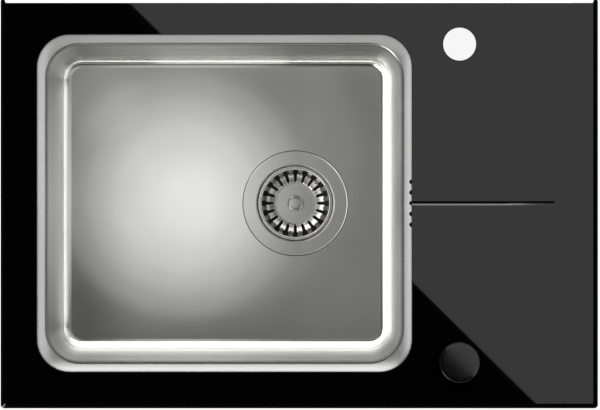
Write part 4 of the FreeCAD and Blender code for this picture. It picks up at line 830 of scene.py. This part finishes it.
def soft_lamp(name, place, target, size, radiance, group=None, turn=0.0, spread=math.pi):
    # A flat lamp of an even radiance, facing its target and turned about that line
    # A grid narrows its spread
    lamp = bpy.data.lights.new(name, "AREA")
    lamp.shape = "RECTANGLE" if isinstance(size, tuple) else "DISK"
    if isinstance(size, tuple):
        lamp.size, lamp.size_y = size
        area = size[0] * size[1]
    else:
        lamp.size = size
        area = math.pi * size ** 2 / 4
    lamp.energy = radiance * math.pi * area
    if spread < math.pi:
        lamp.spread = spread
        lamp.energy *= 1.0 - spread / 2 / math.tan(spread / 2)
    holder = bpy.data.objects.new(name, lamp)
    bpy.context.scene.collection.objects.link(holder)
    holder.location = place
    aim = Vector(target) - Vector(place)
    holder.rotation_euler = aim.to_track_quat("-Z", "Y").to_euler()
    holder.rotation_euler.rotate_axis("Z", turn)
    if group:
        holder.light_linking.receiver_collection = group


def window_edge(name, pixel, depth, lift, radiance, group):
    # A window whose straight edge is mirrored from upper left to lower right through this pixel
    middle = Vector(on_panel(PHOTO_SIZE[0] / 2, PHOTO_SIZE[1] / 2))
    edge = middle + (Vector(on_panel(*pixel)) - middle) * (1 + lift / CAMERA_DISTANCE)
    turn = math.radians(WINDOW_TURN)
    across = Vector((-math.sin(turn), math.cos(turn), 0.0)) * depth / 2
    place = Vector((edge.x, edge.y, GLASS_TOP * MM + lift)) + across
    target = (place.x, place.y, 0.0)
    soft_lamp(name, place, target, (WINDOW_LENGTH, depth), radiance, group, turn=turn)


def glass_lights():
    glass = lit_group("lit_glass", [frame["nodes"]["glass_top"]])
    knob = lit_group("lit_knob", [disc])
    window_edge("window", WINDOW_PIXEL, depth=0.5, lift=1.2, radiance=0.92, group=glass)
    window_edge("window_disc", DISC_WINDOW_PIXEL, depth=0.3, lift=0.25, radiance=1.1, group=knob)
    bevel = Vector((0.0, (GLASS_BACK - BEVEL_WIDTH / 2) * MM, GLASS_TOP * MM))
    soft_lamp(
        "strip_bevel", bevel + BEVEL_AWAY, bevel, size=(0.70, 0.03), radiance=26.0, group=glass,
        spread=math.radians(BEVEL_SPREAD),
    )
    # Each strip behind the groove is higher and weaker than the last, for the run-out at its end
    groove = Vector((GROOVE_X, 0.0, GLASS_TOP * MM))
    for step, (elevation, height, radiance) in enumerate(GROOVE_STRIPS):
        rise = math.radians(elevation)
        away = Vector((0.0, math.cos(rise), math.sin(rise))) * GROOVE_AWAY
        size = (GROOVE_STRIP_LENGTH, height)
        soft_lamp(f"strip_groove_{step + 1}", groove + away, groove, size, radiance, glass)


def bowl_lights():
    bowl, flange = frame["nodes"]["bowl"], rounded["waste_flange"]
    steel = lit_group("lit_steel", [bowl, basket, button, flange])
    basin = lit_group("lit_basin", [bowl, flange])
    for name, place, size, radiance in BOWL_BOXES:
        target = (place[0], place[1], BOWL_FLOOR * MM)
        soft_lamp(name, place, target, size, radiance, steel)
    # The discs add up to the hot spot on the floor
    for step, (pixel, pixel_radius, radiance) in enumerate(HOT_SPOT_DISCS):
        x, y = on_panel(*pixel)
        soft_lamp(
            f"hot_spot_{step + 1}", (x, y, HOT_SPOT_HEIGHT - HOT_SPOT_STEP * step),
            (x, y, BOWL_FLOOR * MM), 2 * pixel_radius * PIXEL_MM * MM, radiance, steel,
            spread=math.radians(HOT_SPOT_SPREAD),
        )
    for side, (x, y), size, radiance in LEDGE_STRIPS:
        soft_lamp(f"strip_ledge_{side}", (x, y, LEDGE_STRIP_HEIGHT), (x, y, 0.0), size, radiance, steel)
    # The strips at the foot look a little downward
    slant = math.tan(math.radians(FOOT_STRIP_SLANT))
    for side, (foot_x, foot_y), (in_x, in_y), level, size, radiance in FOOT_STRIPS:
        place = Vector((foot_x + in_x * FOOT_STRIP_AWAY, foot_y + in_y * FOOT_STRIP_AWAY, level))
        facing = place - Vector((in_x, in_y, slant))
        spread = math.radians(FOOT_STRIP_SPREAD)
        soft_lamp(f"strip_foot_{side}", place, facing, size, radiance, basin, spread=spread)


def strainer_lights():
    # Strongest from the back left
    strainer = lit_group("lit_strainer", [basket, rounded["waste_flange"]])
    waste = Vector((WASTE[0] * MM, WASTE[1] * MM, STRAINER_LEVEL))
    rise = math.tan(math.radians(STRAINER_LAMP_RISE))
    for bearing, radiance in STRAINER_LAMPS:
        turned = math.radians(bearing)
        away = Vector((math.cos(turned), math.sin(turned), rise)) * STRAINER_LAMP_AWAY
        soft_lamp(
            f"strainer_lamp_{bearing}", waste + away, waste, STRAINER_LAMP_SIZE, radiance, strainer,
        )


def key_light():
    # For the whole object, from the front left
    soft_lamp("key", place=(-1.6, -1.9, 1.9), target=(0.0, 0.0, -0.1), size=(1.4, 1.4), radiance=5.0)


def camera():
    lens = bpy.data.cameras.new("camera")
    lens.sensor_width = SENSOR_WIDTH
    lens.lens = LENS
    lens.clip_end = 100.0
    eye = bpy.data.objects.new("camera", lens)
    bpy.context.scene.collection.objects.link(eye)
    x, y = on_panel(PHOTO_SIZE[0] / 2, PHOTO_SIZE[1] / 2)
    eye.location = (x, y, GLASS_TOP * MM + CAMERA_DISTANCE)
    bpy.context.scene.camera = eye


bpy.ops.object.select_all(action="DESELECT")
studio_floor()
studio_sky()
glass_lights()
bowl_lights()
strainer_lights()
key_light()
camera()
bpy.context.scene.view_settings.view_transform = "Standard"
